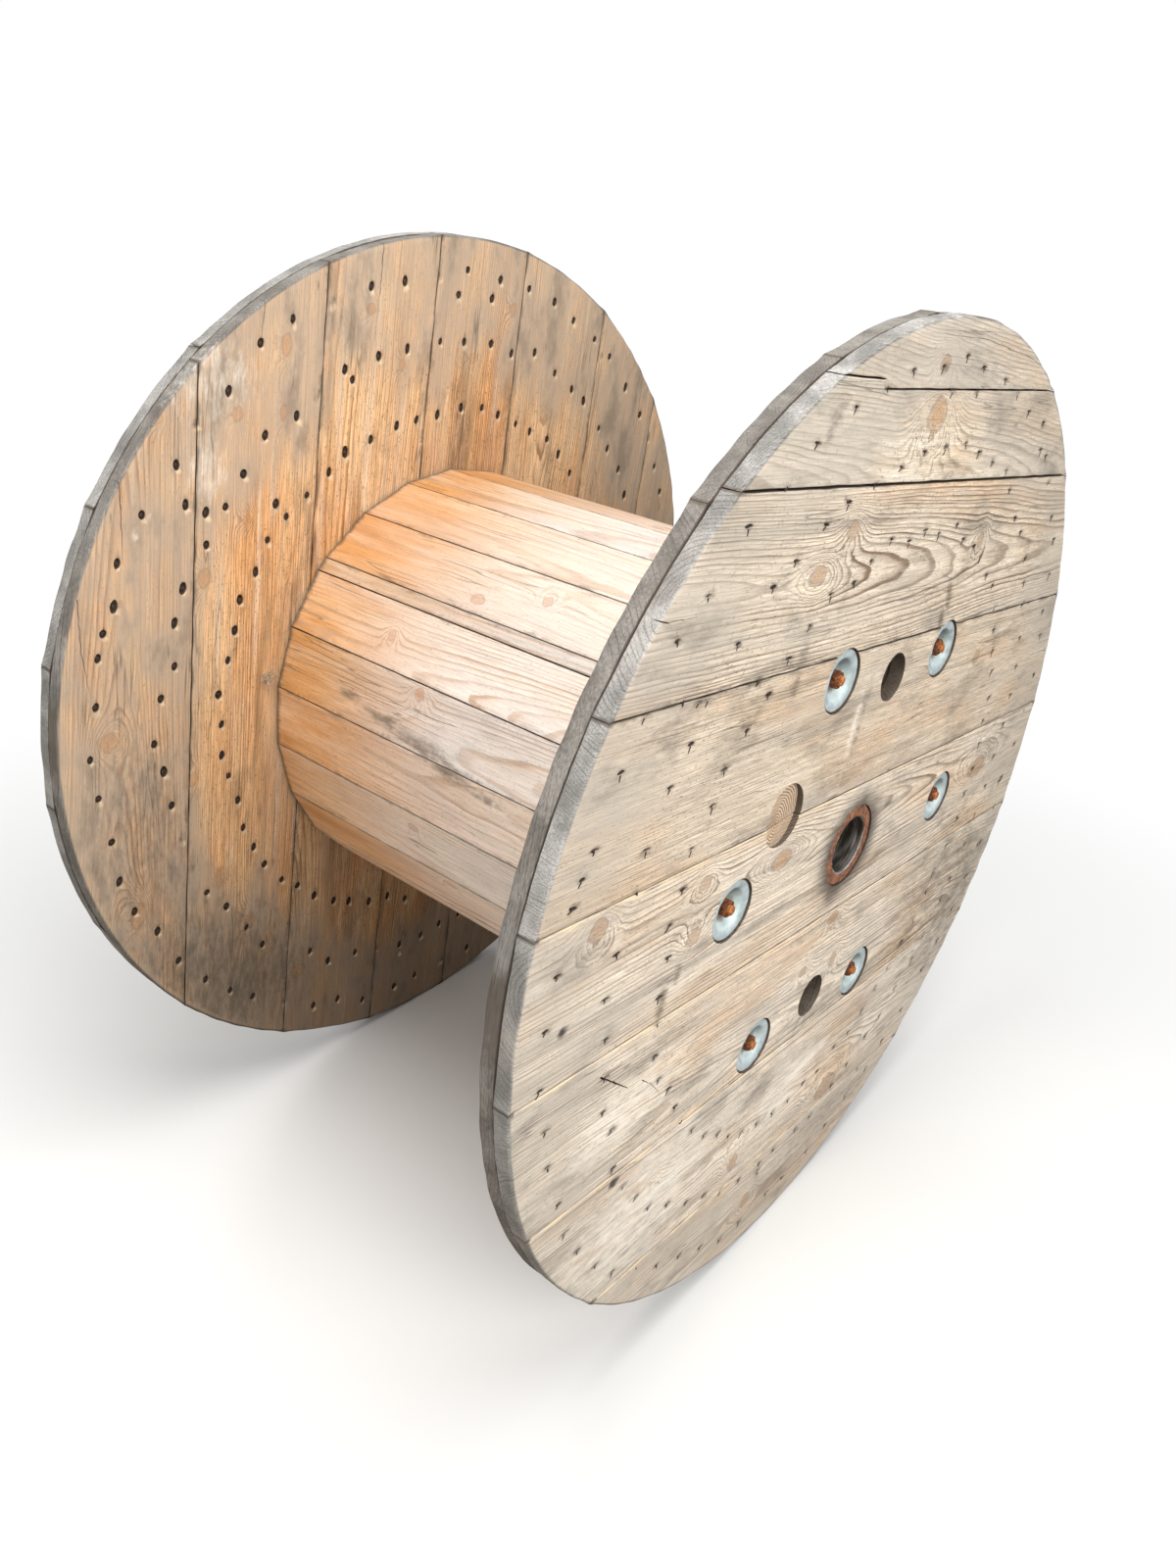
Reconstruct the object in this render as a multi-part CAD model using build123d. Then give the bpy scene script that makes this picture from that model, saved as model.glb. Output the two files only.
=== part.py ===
from build123d import *
from math import cos, hypot, pi, radians, sin, tan
import os

# A wooden cable drum, lying on the rims of its two flanges.
# The spindle axis runs along Y through the origin, which is the drum's centre.
# The front flange is at -Y and the rear flange at +Y.

# Driving sizes in millimetres, and angles in degrees.
flange_diameter = 1400
overall_width = 864
ply_thickness = 23
rim_chamfer = 3
plank_lean = 6.5
joint_gap = 0.6
seat_gap = 0.3

# Each ply has seven planks, with its joints below and above the spindle, or left and right of it.
# The joints that bound the edge planks are measured from the rim, the next ones from the
# centres of the furthest tie rods, and those that bound the middle plank from the spindle.
outer_edge_planks = (173, 193)
outer_joints_past_rods = (44.5, 34.5)
outer_middle_plank = (105, 96)
inner_edge_planks = (202, 188)
inner_joints_past_rods = (-13, 10)
inner_middle_plank = (91, 102)

# The front flange has one more joint, under its topmost plank, which tapers and has a small step.
# Its left and right heights are measured down from the top of the rim.
cap_below_rim_left = 81
cap_below_rim_right = 60
cap_joint_step = 10
cap_step_place = -229

barrel_diameter = 704
stave_thickness = 25
stave_count = 23
filler_width = 23
filler_place = 136.2

former_depth = 30
former_reach = 70

spindle_bore = 80
bush_wall = 6
bush_length = 58
bush_lip_width = 16
bush_lip_thickness = 3
bush_lip_depth = 2
bush_mouth_step = 3
bush_mouth_depth = 10
lip_edge_chamfer = 1

# The tie rods run inside the barrel, close to the staves.
tie_rod_count = 6
tie_rod_diameter = 14
tie_rod_to_stave = 6.8
tie_rod_inset = 0.5
tie_rod_clearance = 1

nut_wall = 4
nut_height = 11
nut_corner_chamfer = 1.2
thread_gap = 0.2

# A washer has a flat floor round its nut, a sloping wall and a flat rim, in a counterbore.
washer_floor_margin = 4.3
washer_flare = 14
washer_dish_depth = 12.8
washer_rim_width = 9
washer_thickness = 3
counterbore_margin = 3
counterbore_depth = 6

drive_hole_diameter = 68
drive_hole_circle = 500

# A shallow round recess in the front face, bored with the counterbore's cutter held askew.
recess_along = -228
recess_up = 106
recess_depth = 5

# Sizes that follow from the ones above.
flange_radius = flange_diameter / 2
flange_thickness = 2 * ply_thickness
winding_width = overall_width - 2 * flange_thickness
barrel_radius = barrel_diameter / 2
cap_left = flange_radius - cap_below_rim_left
cap_right = flange_radius - cap_below_rim_right

# The filler stave closes the ring that the full staves leave open.
filler_half_angle = filler_width / barrel_radius / 2
stave_half_angle = (pi - filler_half_angle) / stave_count
stave_inner_apothem = barrel_radius * cos(stave_half_angle) - stave_thickness

rod_radius = tie_rod_diameter / 2
rod_hole_radius = rod_radius + tie_rod_clearance
rod_circle_radius = stave_inner_apothem - tie_rod_to_stave - rod_radius
rod_angles = [i * 360 / tie_rod_count for i in range(tie_rod_count)]

nut_flat_radius = rod_radius + nut_wall
nut_corner_radius = nut_flat_radius / cos(radians(30))
dish_floor_radius = nut_corner_radius + washer_floor_margin
dish_top_radius = dish_floor_radius + washer_flare
washer_radius = dish_top_radius + washer_rim_width
counterbore_radius = washer_radius + counterbore_margin
washer_face_depth = counterbore_depth - washer_thickness
dish_floor_depth = washer_face_depth + washer_dish_depth

# How far the underside of the dish's wall stands outside its top side.
dish_slant = washer_thickness * (hypot(washer_flare, washer_dish_depth) - washer_flare) / washer_dish_depth
dish_outside_radius = dish_top_radius + dish_slant
pocket_depth = dish_floor_depth + washer_thickness + seat_gap

bush_outer_radius = spindle_bore / 2 + bush_wall
bush_lip_radius = bush_outer_radius + bush_lip_width
bush_seat_depth = bush_lip_depth + bush_lip_thickness
drive_hole_radius = drive_hole_diameter / 2

# Cutters start this far above the outer face, and run this far through what they cut.
cutter_overrun = 20
through_flange = flange_thickness + cutter_overrun
through_former = flange_thickness + former_depth + cutter_overrun

# Local frame of the front flange: x runs along the outer planks, y up across them,
# and z out of the flange, with z = 0 on its outer face.
lean = radians(plank_lean)
front_face = Plane(
    origin=(0, -overall_width / 2, 0),
    x_dir=(cos(lean), 0, -sin(lean)),
    z_dir=(0, -1, 0),
)


def hole(radius, depth, x=0.0, y=0.0):
    """A round cutter that goes down from the flange's outer face."""
    return Pos(x, y, -depth) * extrude(Circle(radius), depth + cutter_overrun)


def at_rod(angle):
    """The place of a tie rod, in the flange's frame."""
    return rod_circle_radius * cos(radians(angle)), rod_circle_radius * sin(radians(angle))


def drive_holes(depth):
    """The two holes that a driving pin can enter, above and below the spindle."""
    place = drive_hole_circle / 2
    return [hole(drive_hole_radius, depth, 0, side * place) for side in (1, -1)]


def flange_cuts():
    """Everything that is bored into a flange from its outer face."""
    cuts = [
        hole(bush_lip_radius + seat_gap, bush_seat_depth),
        hole(bush_outer_radius + seat_gap, through_flange),
    ]
    for angle in rod_angles:
        x, y = at_rod(angle)
        cuts.append(hole(counterbore_radius, counterbore_depth, x, y))
        cuts.append(hole(dish_outside_radius + seat_gap, pocket_depth, x, y))
        cuts.append(hole(rod_hole_radius, through_flange, x, y))
    return cuts + drive_holes(through_flange)


def slanted_recess():
    """A round cutter whose floor rises to the face on the left."""
    cutter = hole(counterbore_radius, recess_depth, recess_along, recess_up)
    across = 2 * counterbore_radius
    slope = Plane(
        origin=(recess_along - counterbore_radius, recess_up, 0),
        x_dir=(across, 0, -recess_depth),
        z_dir=(recess_depth, 0, across),
    )
    above = slope * extrude(Rectangle(4 * across, 4 * across), cutter_overrun)
    return cutter & above


def ply(top_depth, rim_edge):
    """A plain round ply. rim_edge is 1 to chamfer the outer face's rim, -1 the inner face's."""
    disc = Pos(0, 0, -top_depth - ply_thickness) * extrude(Circle(flange_radius), ply_thickness)
    rims = disc.edges().filter_by(GeomType.CIRCLE).sort_by(Axis.Z)
    return chamfer(rims[-1] if rim_edge > 0 else rims[0], rim_chamfer)


def edge_line(height):
    """A straight joint across the whole flange."""
    return [(-flange_diameter, height), (flange_diameter, height)]


def joint_lines(edge_planks, past_rods, middle_plank, furthest_rod):
    """The six straight joints of a ply, from below the spindle to above it."""
    below = (flange_radius - edge_planks[0], furthest_rod + past_rods[0], middle_plank[0])
    above = (middle_plank[1], furthest_rod + past_rods[1], flange_radius - edge_planks[1])
    return [edge_line(-height) for height in below] + [edge_line(height) for height in above]


def cap_line():
    """The tapering joint with a step in it."""
    return [
        (-flange_diameter, cap_left),
        (cap_step_place, cap_left),
        (cap_step_place, cap_left - cap_joint_step),
        (flange_radius, cap_right),
        (flange_diameter, cap_right),
    ]


def planks(disc, lines):
    """Cuts a ply into planks along its joint lines, which run from left to right."""
    bounds = [edge_line(-flange_diameter)] + lines + [edge_line(flange_diameter)]
    pieces = []
    for low, high in zip(bounds, bounds[1:]):
        outline = [(x, y + joint_gap / 2) for x, y in low]
        outline += [(x, y - joint_gap / 2) for x, y in reversed(high)]
        strip = extrude(make_face(Polyline(*outline, close=True)), 2 * flange_thickness, both=True)
        pieces.append(disc & strip)
    return pieces


def outer_planks(extra_lines, recessed):
    """The outer ply of a flange, cut into planks, in the flange's frame."""
    disc = ply(0, 1) - flange_cuts()
    if recessed:
        disc -= slanted_recess()
    furthest_rod = max(at_rod(angle)[1] for angle in rod_angles)
    lines = joint_lines(outer_edge_planks, outer_joints_past_rods, outer_middle_plank, furthest_rod)
    return planks(disc, lines + extra_lines)


def inner_planks():
    """The inner ply of a flange, with its planks across those of the outer ply."""
    turn = Rot(0, 0, -90)
    disc = turn.inverse() * (ply(ply_thickness, -1) - flange_cuts())
    furthest_rod = max(at_rod(angle)[0] for angle in rod_angles)
    lines = joint_lines(inner_edge_planks, inner_joints_past_rods, inner_middle_plank, furthest_rod)
    return [turn * piece for piece in planks(disc, lines)]


def bush():
    """A flanged steel bush, turned, with a wider mouth than its bore."""
    bore = spindle_bore / 2
    mouth = bore + bush_mouth_step
    end = bush_lip_depth + bush_length
    step = bush_lip_depth + bush_mouth_depth
    profile = Polyline(
        (mouth + lip_edge_chamfer, -bush_lip_depth),
        (bush_lip_radius - lip_edge_chamfer, -bush_lip_depth),
        (bush_lip_radius, -bush_lip_depth - lip_edge_chamfer),
        (bush_lip_radius, -bush_seat_depth),
        (bush_outer_radius, -bush_seat_depth),
        (bush_outer_radius, -end),
        (bore, -end),
        (bore, -step),
        (mouth, -step),
        (mouth, -bush_lip_depth - lip_edge_chamfer),
        close=True,
    )
    return revolve(make_face(Plane.XZ * profile), Axis.Z)


def washer():
    """A deep dished washer on its counterbore, about its own rod."""
    bottom = dish_floor_depth + washer_thickness
    bore = rod_radius + tie_rod_clearance / 2
    profile = Polyline(
        (washer_radius, -washer_face_depth),
        (dish_top_radius, -washer_face_depth),
        (dish_floor_radius, -dish_floor_depth),
        (bore, -dish_floor_depth),
        (bore, -bottom),
        (dish_floor_radius + dish_slant, -bottom),
        (dish_outside_radius, -counterbore_depth),
        (washer_radius, -counterbore_depth),
        close=True,
    )
    return revolve(make_face(Plane.XZ * profile), Axis.Z)


def nut():
    """A hexagon nut on the floor of its washer, about its own rod."""
    hexagon = RegularPolygon(nut_flat_radius, 6, major_radius=False)
    block = extrude(hexagon - Circle(rod_radius + thread_gap), nut_height)
    turned = extrude(Circle(nut_corner_radius), nut_height)
    top = turned.edges().filter_by(GeomType.CIRCLE).sort_by(Axis.Z)[-1]
    return Pos(0, 0, -dish_floor_depth) * (block & chamfer(top, nut_corner_chamfer))


def at_rods(piece):
    """One copy of a piece at each tie rod, in the flange's frame."""
    return [Pos(*at_rod(angle)) * piece for angle in rod_angles]


def stave(half_angle):
    """A flat plank with bevelled sides, lying over the +X side of the barrel."""
    apothem = barrel_radius * cos(half_angle)
    inner = apothem - stave_thickness
    side = joint_gap / 2 / cos(half_angle)
    outline = Polyline(
        (inner, inner * tan(half_angle) - side),
        (apothem, apothem * tan(half_angle) - side),
        (apothem, -apothem * tan(half_angle) + side),
        (inner, -inner * tan(half_angle) + side),
        close=True,
    )
    length = winding_width - 2 * seat_gap
    return extrude(make_face(outline), length / 2, both=True)


def former_segment():
    """One sawn segment of the ring that carries the ends of the staves, about a tie rod."""
    half_step = radians(180 / tie_rod_count)
    outer = stave_inner_apothem - seat_gap
    inner = outer - former_reach
    side = joint_gap / 2 / cos(half_step)
    wedge = Polyline(
        (inner, inner * tan(half_step) - side),
        (flange_radius, flange_radius * tan(half_step) - side),
        (flange_radius, -flange_radius * tan(half_step) + side),
        (inner, -inner * tan(half_step) + side),
        close=True,
    )
    shape = Circle(outer) & make_face(wedge)
    shape -= Pos(rod_circle_radius, 0) * Circle(rod_hole_radius)
    return Pos(0, 0, -flange_thickness - former_depth) * extrude(shape, former_depth)


def save(name, shapes):
    """Writes one node."""
    export_step(Compound(children=shapes) if len(shapes) > 1 else shapes[0], f"parts/{name}.step")


def on_front(shapes):
    """Carries shapes from the flange's frame to the front of the drum."""
    return [front_face * shape for shape in shapes]


def on_rear(shapes):
    """The same shapes, mirrored to the rear of the drum."""
    return [mirror(shape, Plane.XZ) for shape in on_front(shapes)]


os.makedirs("parts", exist_ok=True)

for number, piece in enumerate(outer_planks([cap_line()], True), 1):
    save(f"front_outer_plank_{number}", on_front([piece]))
for number, piece in enumerate(outer_planks([], False), 1):
    save(f"rear_outer_plank_{number}", on_rear([piece]))
for number, piece in enumerate(inner_planks(), 1):
    save(f"front_inner_plank_{number}", on_front([piece]))
    save(f"rear_inner_plank_{number}", on_rear([piece]))

# Staves lie along Y, and are numbered from the filler round the barrel.
along_y = Plane(origin=(0, 0, 0), x_dir=(1, 0, 0), z_dir=(0, -1, 0))
save("barrel_filler_stave", [along_y * (Rot(0, 0, filler_place) * stave(filler_half_angle))])
for number in range(stave_count):
    turn = filler_place + (filler_half_angle + (2 * number + 1) * stave_half_angle) * 180 / pi
    save(f"barrel_stave_{number + 1}", [along_y * (Rot(0, 0, turn) * stave(stave_half_angle))])

# The drive holes are bored through the formers too.
formers = [Rot(0, 0, angle) * former_segment() - drive_holes(through_former) for angle in rod_angles]
save("former_segments", on_front(formers) + on_rear(formers))

save("front_bush", on_front([bush()]))
save("rear_bush", on_rear([bush()]))
save("washers", on_front(at_rods(washer())) + on_rear(at_rods(washer())))
save("nuts", on_front(at_rods(nut())) + on_rear(at_rods(nut())))

rod_length = overall_width - 2 * tie_rod_inset
rod = Pos(0, 0, -tie_rod_inset - rod_length) * extrude(Circle(rod_radius), rod_length)
save("tie_rods", on_front(at_rods(rod)))
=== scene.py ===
"""A wooden cable drum, worn by weather and work.

The planks, staves and fittings of the CAD frame are replaced by meshes with worn arrises, nail holes,
clinched nails, splits and torn edges, and every surface gets its own procedural finish.
"""

import logging
import math
from collections.abc import Callable, Iterable, Sequence
from dataclasses import dataclass, field, replace
from enum import Enum

import bmesh
import bpy
import numpy as np
from mathutils import Matrix, Vector
from mathutils.geometry import delaunay_2d_cdt


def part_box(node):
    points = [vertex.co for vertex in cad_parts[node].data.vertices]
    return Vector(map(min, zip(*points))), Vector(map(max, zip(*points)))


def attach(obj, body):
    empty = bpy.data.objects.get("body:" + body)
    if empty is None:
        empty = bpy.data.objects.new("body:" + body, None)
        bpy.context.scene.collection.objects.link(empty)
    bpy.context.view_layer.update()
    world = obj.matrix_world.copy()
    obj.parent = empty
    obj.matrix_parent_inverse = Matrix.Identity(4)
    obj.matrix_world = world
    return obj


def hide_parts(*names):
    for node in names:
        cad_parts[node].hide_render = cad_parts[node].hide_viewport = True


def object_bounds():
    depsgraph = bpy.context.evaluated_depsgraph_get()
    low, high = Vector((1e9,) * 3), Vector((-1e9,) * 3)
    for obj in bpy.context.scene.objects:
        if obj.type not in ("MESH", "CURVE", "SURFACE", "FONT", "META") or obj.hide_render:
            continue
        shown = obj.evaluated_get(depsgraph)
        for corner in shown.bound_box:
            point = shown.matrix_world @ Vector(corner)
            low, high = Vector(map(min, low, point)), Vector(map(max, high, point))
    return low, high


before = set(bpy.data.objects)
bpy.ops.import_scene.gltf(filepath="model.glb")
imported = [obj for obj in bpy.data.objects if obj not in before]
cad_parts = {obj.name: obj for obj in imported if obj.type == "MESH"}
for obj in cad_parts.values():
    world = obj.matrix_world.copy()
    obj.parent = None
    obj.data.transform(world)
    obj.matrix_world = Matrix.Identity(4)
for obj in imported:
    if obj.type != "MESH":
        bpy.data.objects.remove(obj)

log = logging.getLogger("cable_drum")

Array = np.ndarray
Colour = tuple[float, float, float, float]
Socket = bpy.types.NodeSocket
Inputs = dict[int | str, object]
Faces = list[tuple[int, ...]]
Body = tuple[Array, Faces]

MM = 0.001
WHITE = (1.0, 1.0, 1.0, 1.0)
BLACK = (0.0, 0.0, 0.0, 1.0)
ROOT = "root"

CAD_LOW, CAD_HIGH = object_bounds()
FLANGE_RADIUS = (CAD_HIGH.x - CAD_LOW.x) / 2
HALF_WIDTH = CAD_HIGH.y
PLANK_LEAN = math.radians(6.5)


def extent(node: str, axis: int) -> float:
    """The size of a CAD node along one axis of the row frame."""
    low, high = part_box(node)
    return high[axis] - low[axis]


PLY_THICKNESS = extent("rear_outer_plank_4", 1)
FLANGE_THICKNESS = 2 * PLY_THICKNESS
INNER_FACE = HALF_WIDTH - FLANGE_THICKNESS

# Directions in the plane of a flange: along the outer planks, and up across them.
ALONG_OUTER = np.array([math.cos(PLANK_LEAN), 0.0, -math.sin(PLANK_LEAN)])
ACROSS_OUTER = np.array([math.sin(PLANK_LEAN), 0.0, math.cos(PLANK_LEAN)])

# Places of the fittings on a flange.
ROD_CIRCLE_RADIUS = 310 * MM
ROD_COUNT = 6
ROD_RADIUS = 7 * MM
COUNTERBORE_RADIUS = 43 * MM
COUNTERBORE_DEPTH = 6 * MM
POCKET_RADIUS = 32.5 * MM
POCKET_DEPTH = 19.1 * MM
BUSH_SEAT_RADIUS = extent("front_bush", 0) / 2 + 0.3 * MM
BUSH_SEAT_DEPTH = 5 * MM
BUSH_HOLE_RADIUS = 46.3 * MM
DRIVE_HOLE_RADIUS = 34 * MM
DRIVE_HOLE_PLACE = 250 * MM
RECESS_PLACE = (-228 * MM, 106 * MM)
RECESS_DEPTH = 5 * MM


class Side(Enum):
    """The two flanges, with the sign of their place along the spindle."""

    FRONT = -1
    REAR = 1


class Ply(Enum):
    """The two layers of planks in a flange."""

    OUTER = "outer"
    INNER = "inner"


def paint(*parts: float) -> Colour:
    """A colour as a screen shows it, red, green and blue from 0 to 255, as the linear values of shaders."""
    shares = [part / 255 for part in parts]
    return (*(s / 12.92 if s <= 0.04045 else ((s + 0.055) / 1.055) ** 2.4 for s in shares), 1.0)


class Graph:
    """Writes shader nodes into a material or a world, one short call for each."""

    def __init__(self, owner: bpy.types.Material | bpy.types.World) -> None:
        """Starts with an empty node tree.

        Args:
            owner: The material or world that the nodes belong to.
        """
        owner.use_nodes = True
        self.owner = owner
        self.nodes = owner.node_tree.nodes
        self.links = owner.node_tree.links
        self.nodes.clear()

    @classmethod
    def named(cls, name: str) -> "Graph":
        """A graph for a new material of this name."""
        return cls(bpy.data.materials.new(name))

    def add(self, kind: str, inputs: Inputs | None = None, **settings: object) -> bpy.types.Node:
        """Adds a node.

        Args:
            kind: The node's type.
            inputs: What feeds its inputs, by their names or numbers.
            **settings: Properties of the node.

        Returns:
            The new node.
        """
        node = self.nodes.new(kind)
        for key, value in settings.items():
            setattr(node, key, value)
        for key, value in (inputs or {}).items():
            self.feed(node.inputs[key], value)
        return node

    def feed(self, socket: Socket, value: object) -> None:
        """Links a socket to another one, or sets its value.

        Args:
            socket: The input to feed.
            value: A socket, a number or a tuple.
        """
        if isinstance(value, bpy.types.NodeSocket):
            self.links.new(value, socket)
        elif isinstance(value, tuple) and socket.type == "VECTOR":
            socket.default_value = value[:3]
        else:
            socket.default_value = value

    def math(self, operation: str, *values: object, clamp: bool = False) -> Socket:
        """A calculation with one value or more, by its name in Blender."""
        values = dict(enumerate(values))
        return self.add("ShaderNodeMath", values, operation=operation, use_clamp=clamp).outputs[0]

    def plus(self, first: object, second: object) -> Socket:
        """The sum of two values."""
        return self.math("ADD", first, second)

    def minus(self, first: object, second: object) -> Socket:
        """The first value less the second."""
        return self.math("SUBTRACT", first, second)

    def times(self, first: object, second: object) -> Socket:
        """The product of two values."""
        return self.math("MULTIPLY", first, second)

    def times_plus(self, value: object, factor: float, addend: object = 0.0) -> Socket:
        """A value times a factor, plus an addend."""
        return self.math("MULTIPLY_ADD", value, factor, addend)

    def span(self, value: object, low: float, high: float, start: float = 0.0, end: float = 1.0) -> Socket:
        """Eases a value from the range low to high into the range start to end, flat outside it."""
        inputs = {"Value": value, "From Min": low, "From Max": high, "To Min": start, "To Max": end}
        return self.add("ShaderNodeMapRange", inputs, interpolation_type="SMOOTHSTEP").outputs["Result"]

    def mix(self, factor: object, first: object, second: object, how: str = "MIX") -> Socket:
        """The first colour with a share of the second, by the name of the blend type."""
        inputs = {0: factor, 6: first, 7: second}
        return self.add("ShaderNodeMix", inputs, data_type="RGBA", blend_type=how).outputs[2]

    def shade(self, colour: object, factor: Socket) -> Socket:
        """A colour made lighter or darker by a factor about 1."""
        return self.add("ShaderNodeVectorMath", {0: colour, "Scale": factor}, operation="SCALE").outputs[0]

    def stretch(self, vector: Socket, x: float, y: float, z: float) -> Socket:
        """A vector with each part multiplied by its own factor."""
        return self.add("ShaderNodeVectorMath", {0: vector, 1: (x, y, z)}, operation="MULTIPLY").outputs[0]

    def shift(self, vector: Socket, offset: Sequence[float]) -> Socket:
        """A vector moved by a fixed offset."""
        return self.add("ShaderNodeVectorMath", {0: vector, 1: tuple(offset)}, operation="ADD").outputs[0]

    def noise(self, vector: Socket, scale: float = 1.0, detail: float = 2.0, rough: float = 0.5) -> Socket:
        """Noise from about 0.2 to 0.8. Detail is its octaves, and rough the weight of the finer ones."""
        inputs = {"Vector": vector, "Scale": scale, "Detail": detail, "Roughness": rough}
        return self.add("ShaderNodeTexNoise", inputs).outputs["Fac"]

    def split(self, vector: Socket) -> tuple[Socket, Socket, Socket]:
        """The three parts of a vector."""
        return tuple(self.add("ShaderNodeSeparateXYZ", {0: vector}).outputs)

    def join(self, x: object, y: object, z: object) -> Socket:
        """A vector made of three parts."""
        return self.add("ShaderNodeCombineXYZ", {0: x, 1: y, 2: z}).outputs[0]

    def distance(self, vector: Socket) -> Socket:
        """How long a vector is."""
        return self.add("ShaderNodeVectorMath", {0: vector}, operation="LENGTH").outputs["Value"]

    def object_place(self) -> Socket:
        """The place in the row frame, since every piece's object sits at its origin."""
        return self.add("ShaderNodeTexCoord").outputs["Object"]

    def mark(self, name: str) -> Socket:
        """A mark that the mesh carries at its points."""
        return self.add("ShaderNodeAttribute", attribute_type="GEOMETRY", attribute_name=name).outputs["Fac"]

    def bump(self, height: Socket) -> Socket:
        """A surface normal from a height in metres."""
        inputs = {"Strength": 1.0, "Distance": 1.0, "Height": height}
        return self.add("ShaderNodeBump", inputs).outputs["Normal"]

    def finish(
        self, colour: object, rough: object, normal: Socket | None, **values: object
    ) -> bpy.types.Material:
        """Closes the material with a surface shader.

        Args:
            colour: The base colour.
            rough: The roughness.
            normal: The surface normal, if it isn't the mesh's own.
            **values: Other inputs, with _ for each space of their names.

        Returns:
            The material.
        """
        inputs = {key.replace("_", " "): value for key, value in values.items()}
        inputs |= {"Base Color": colour, "Roughness": rough}
        if normal is not None:
            inputs["Normal"] = normal
        shader = self.add("ShaderNodeBsdfPrincipled", inputs)
        self.add("ShaderNodeOutputMaterial", {"Surface": shader.outputs[0]})
        return self.owner


@dataclass(frozen=True)
class Board:
    """Where a plank lies: its own axes, with depth counted inwards from its exposed face."""

    origin: Array
    along: Array
    across: Array
    inward: Array
    thickness: float

    def to_row(self, a: Array, c: Array, depth: Array) -> Array:
        """The points in the row frame that lie at these places along, across and under the face."""
        return self.origin + np.outer(a, self.along) + np.outer(c, self.across) + np.outer(depth, self.inward)

    def from_row(self, points: Array) -> tuple[Array, Array, Array]:
        """The places along, across and under the face of points in the row frame."""
        local = points - self.origin
        return local @ self.along, local @ self.across, local @ self.inward

    def placed(self, body: Body, a: float, c: float) -> Body:
        """A body, made along, across and down, as it lies in the row frame at a place on the plank."""
        points, faces = body
        return self.to_row(points[:, 0] + a, points[:, 1] + c, points[:, 2]), faces


@dataclass(frozen=True)
class Knot:
    """A knot in the wood, by its place in the row frame. Lengths are in millimetres."""

    x: float
    y: float
    z: float
    radius: float
    warmth: float = 0.6

    @classmethod
    def all(cls, y: float, *rows: tuple[float, ...]) -> tuple["Knot", ...]:
        """Knots of one face of a flange, by their places, sizes and warmth."""
        return tuple(cls(x, y, z, *rest) for x, z, *rest in rows)

    def on(self, board: Board) -> tuple[float, float]:
        """The knot's place along and across a plank."""
        a, c, _ = board.from_row(np.array([[self.x, self.y, self.z]]) * MM)
        return float(a[0]), float(c[0])


@dataclass(frozen=True)
class Grain:
    """The log that a plank was sawn from, as the plank shows it."""

    seed: int
    heart: float = 0.0
    pith_depth: float = 60 * MM
    run_out: float = 0.03
    ring_pitch: float = 4.2 * MM
    sway: float = 14 * MM
    contrast: float = 1.0
    tone: Colour = (1.0, 1.0, 1.0, 1.0)
    knots: tuple[Knot, ...] = ()


@dataclass(frozen=True)
class Wood:
    """The places that one plank's finish is laid out by, with the graph that it is written in.

    Place is counted along, across and under the plank's face, and own is the same in the plank's own part of
    the noise. Radius and spindle are counted from and along the drum's axis, and height upwards.
    """

    graph: Graph
    board: Board
    place: Socket
    own: Socket
    radius: Socket
    spindle: Socket
    height: Socket

    @classmethod
    def of(cls, graph: Graph, board: Board, rng: np.random.Generator) -> "Wood":
        """Finds the places on the plank, in its own part of the noise and in the row frame.

        Args:
            graph: The material being written.
            board: Where the plank lies.
            rng: What gives the plank its own part of the noise.

        Returns:
            The places.
        """
        x, spindle, height = graph.split(graph.object_place())
        mirrored = np.dot(np.cross(board.along, board.across), board.inward) < 0
        turn = Matrix((board.along, -board.across if mirrored else board.across, board.inward))
        away = -(turn @ Vector(board.origin))
        inputs = {"Vector": graph.object_place(), "Rotation": turn.to_euler(), "Location": away}
        place = graph.add("ShaderNodeMapping", inputs, vector_type="POINT").outputs[0]
        if mirrored:
            place = graph.stretch(place, 1, -1, 1)
        own = graph.shift(place, rng.uniform(-9, 9, 3))
        return cls(graph, board, place, own, graph.distance(graph.join(x, 0.0, height)), spindle, height)

    def noise(
        self, along: float, across: float, detail: float = 2.0, rough: float = 0.5, moved: Sequence[int] = ()
    ) -> Socket:
        """Noise of the plank's own, drawn out along its grain.

        Args:
            along: Its scale along the grain.
            across: Its scale across the grain and downwards.
            detail: How many octaves it has.
            rough: The weight of the finer octaves.
            moved: How far it is moved, so that it differs from other noise of the plank.

        Returns:
            The noise.
        """
        vector = self.graph.stretch(self.own, along, across, across)
        if moved:
            vector = self.graph.shift(vector, moved)
        return self.graph.noise(vector, detail=detail, rough=rough)


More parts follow.
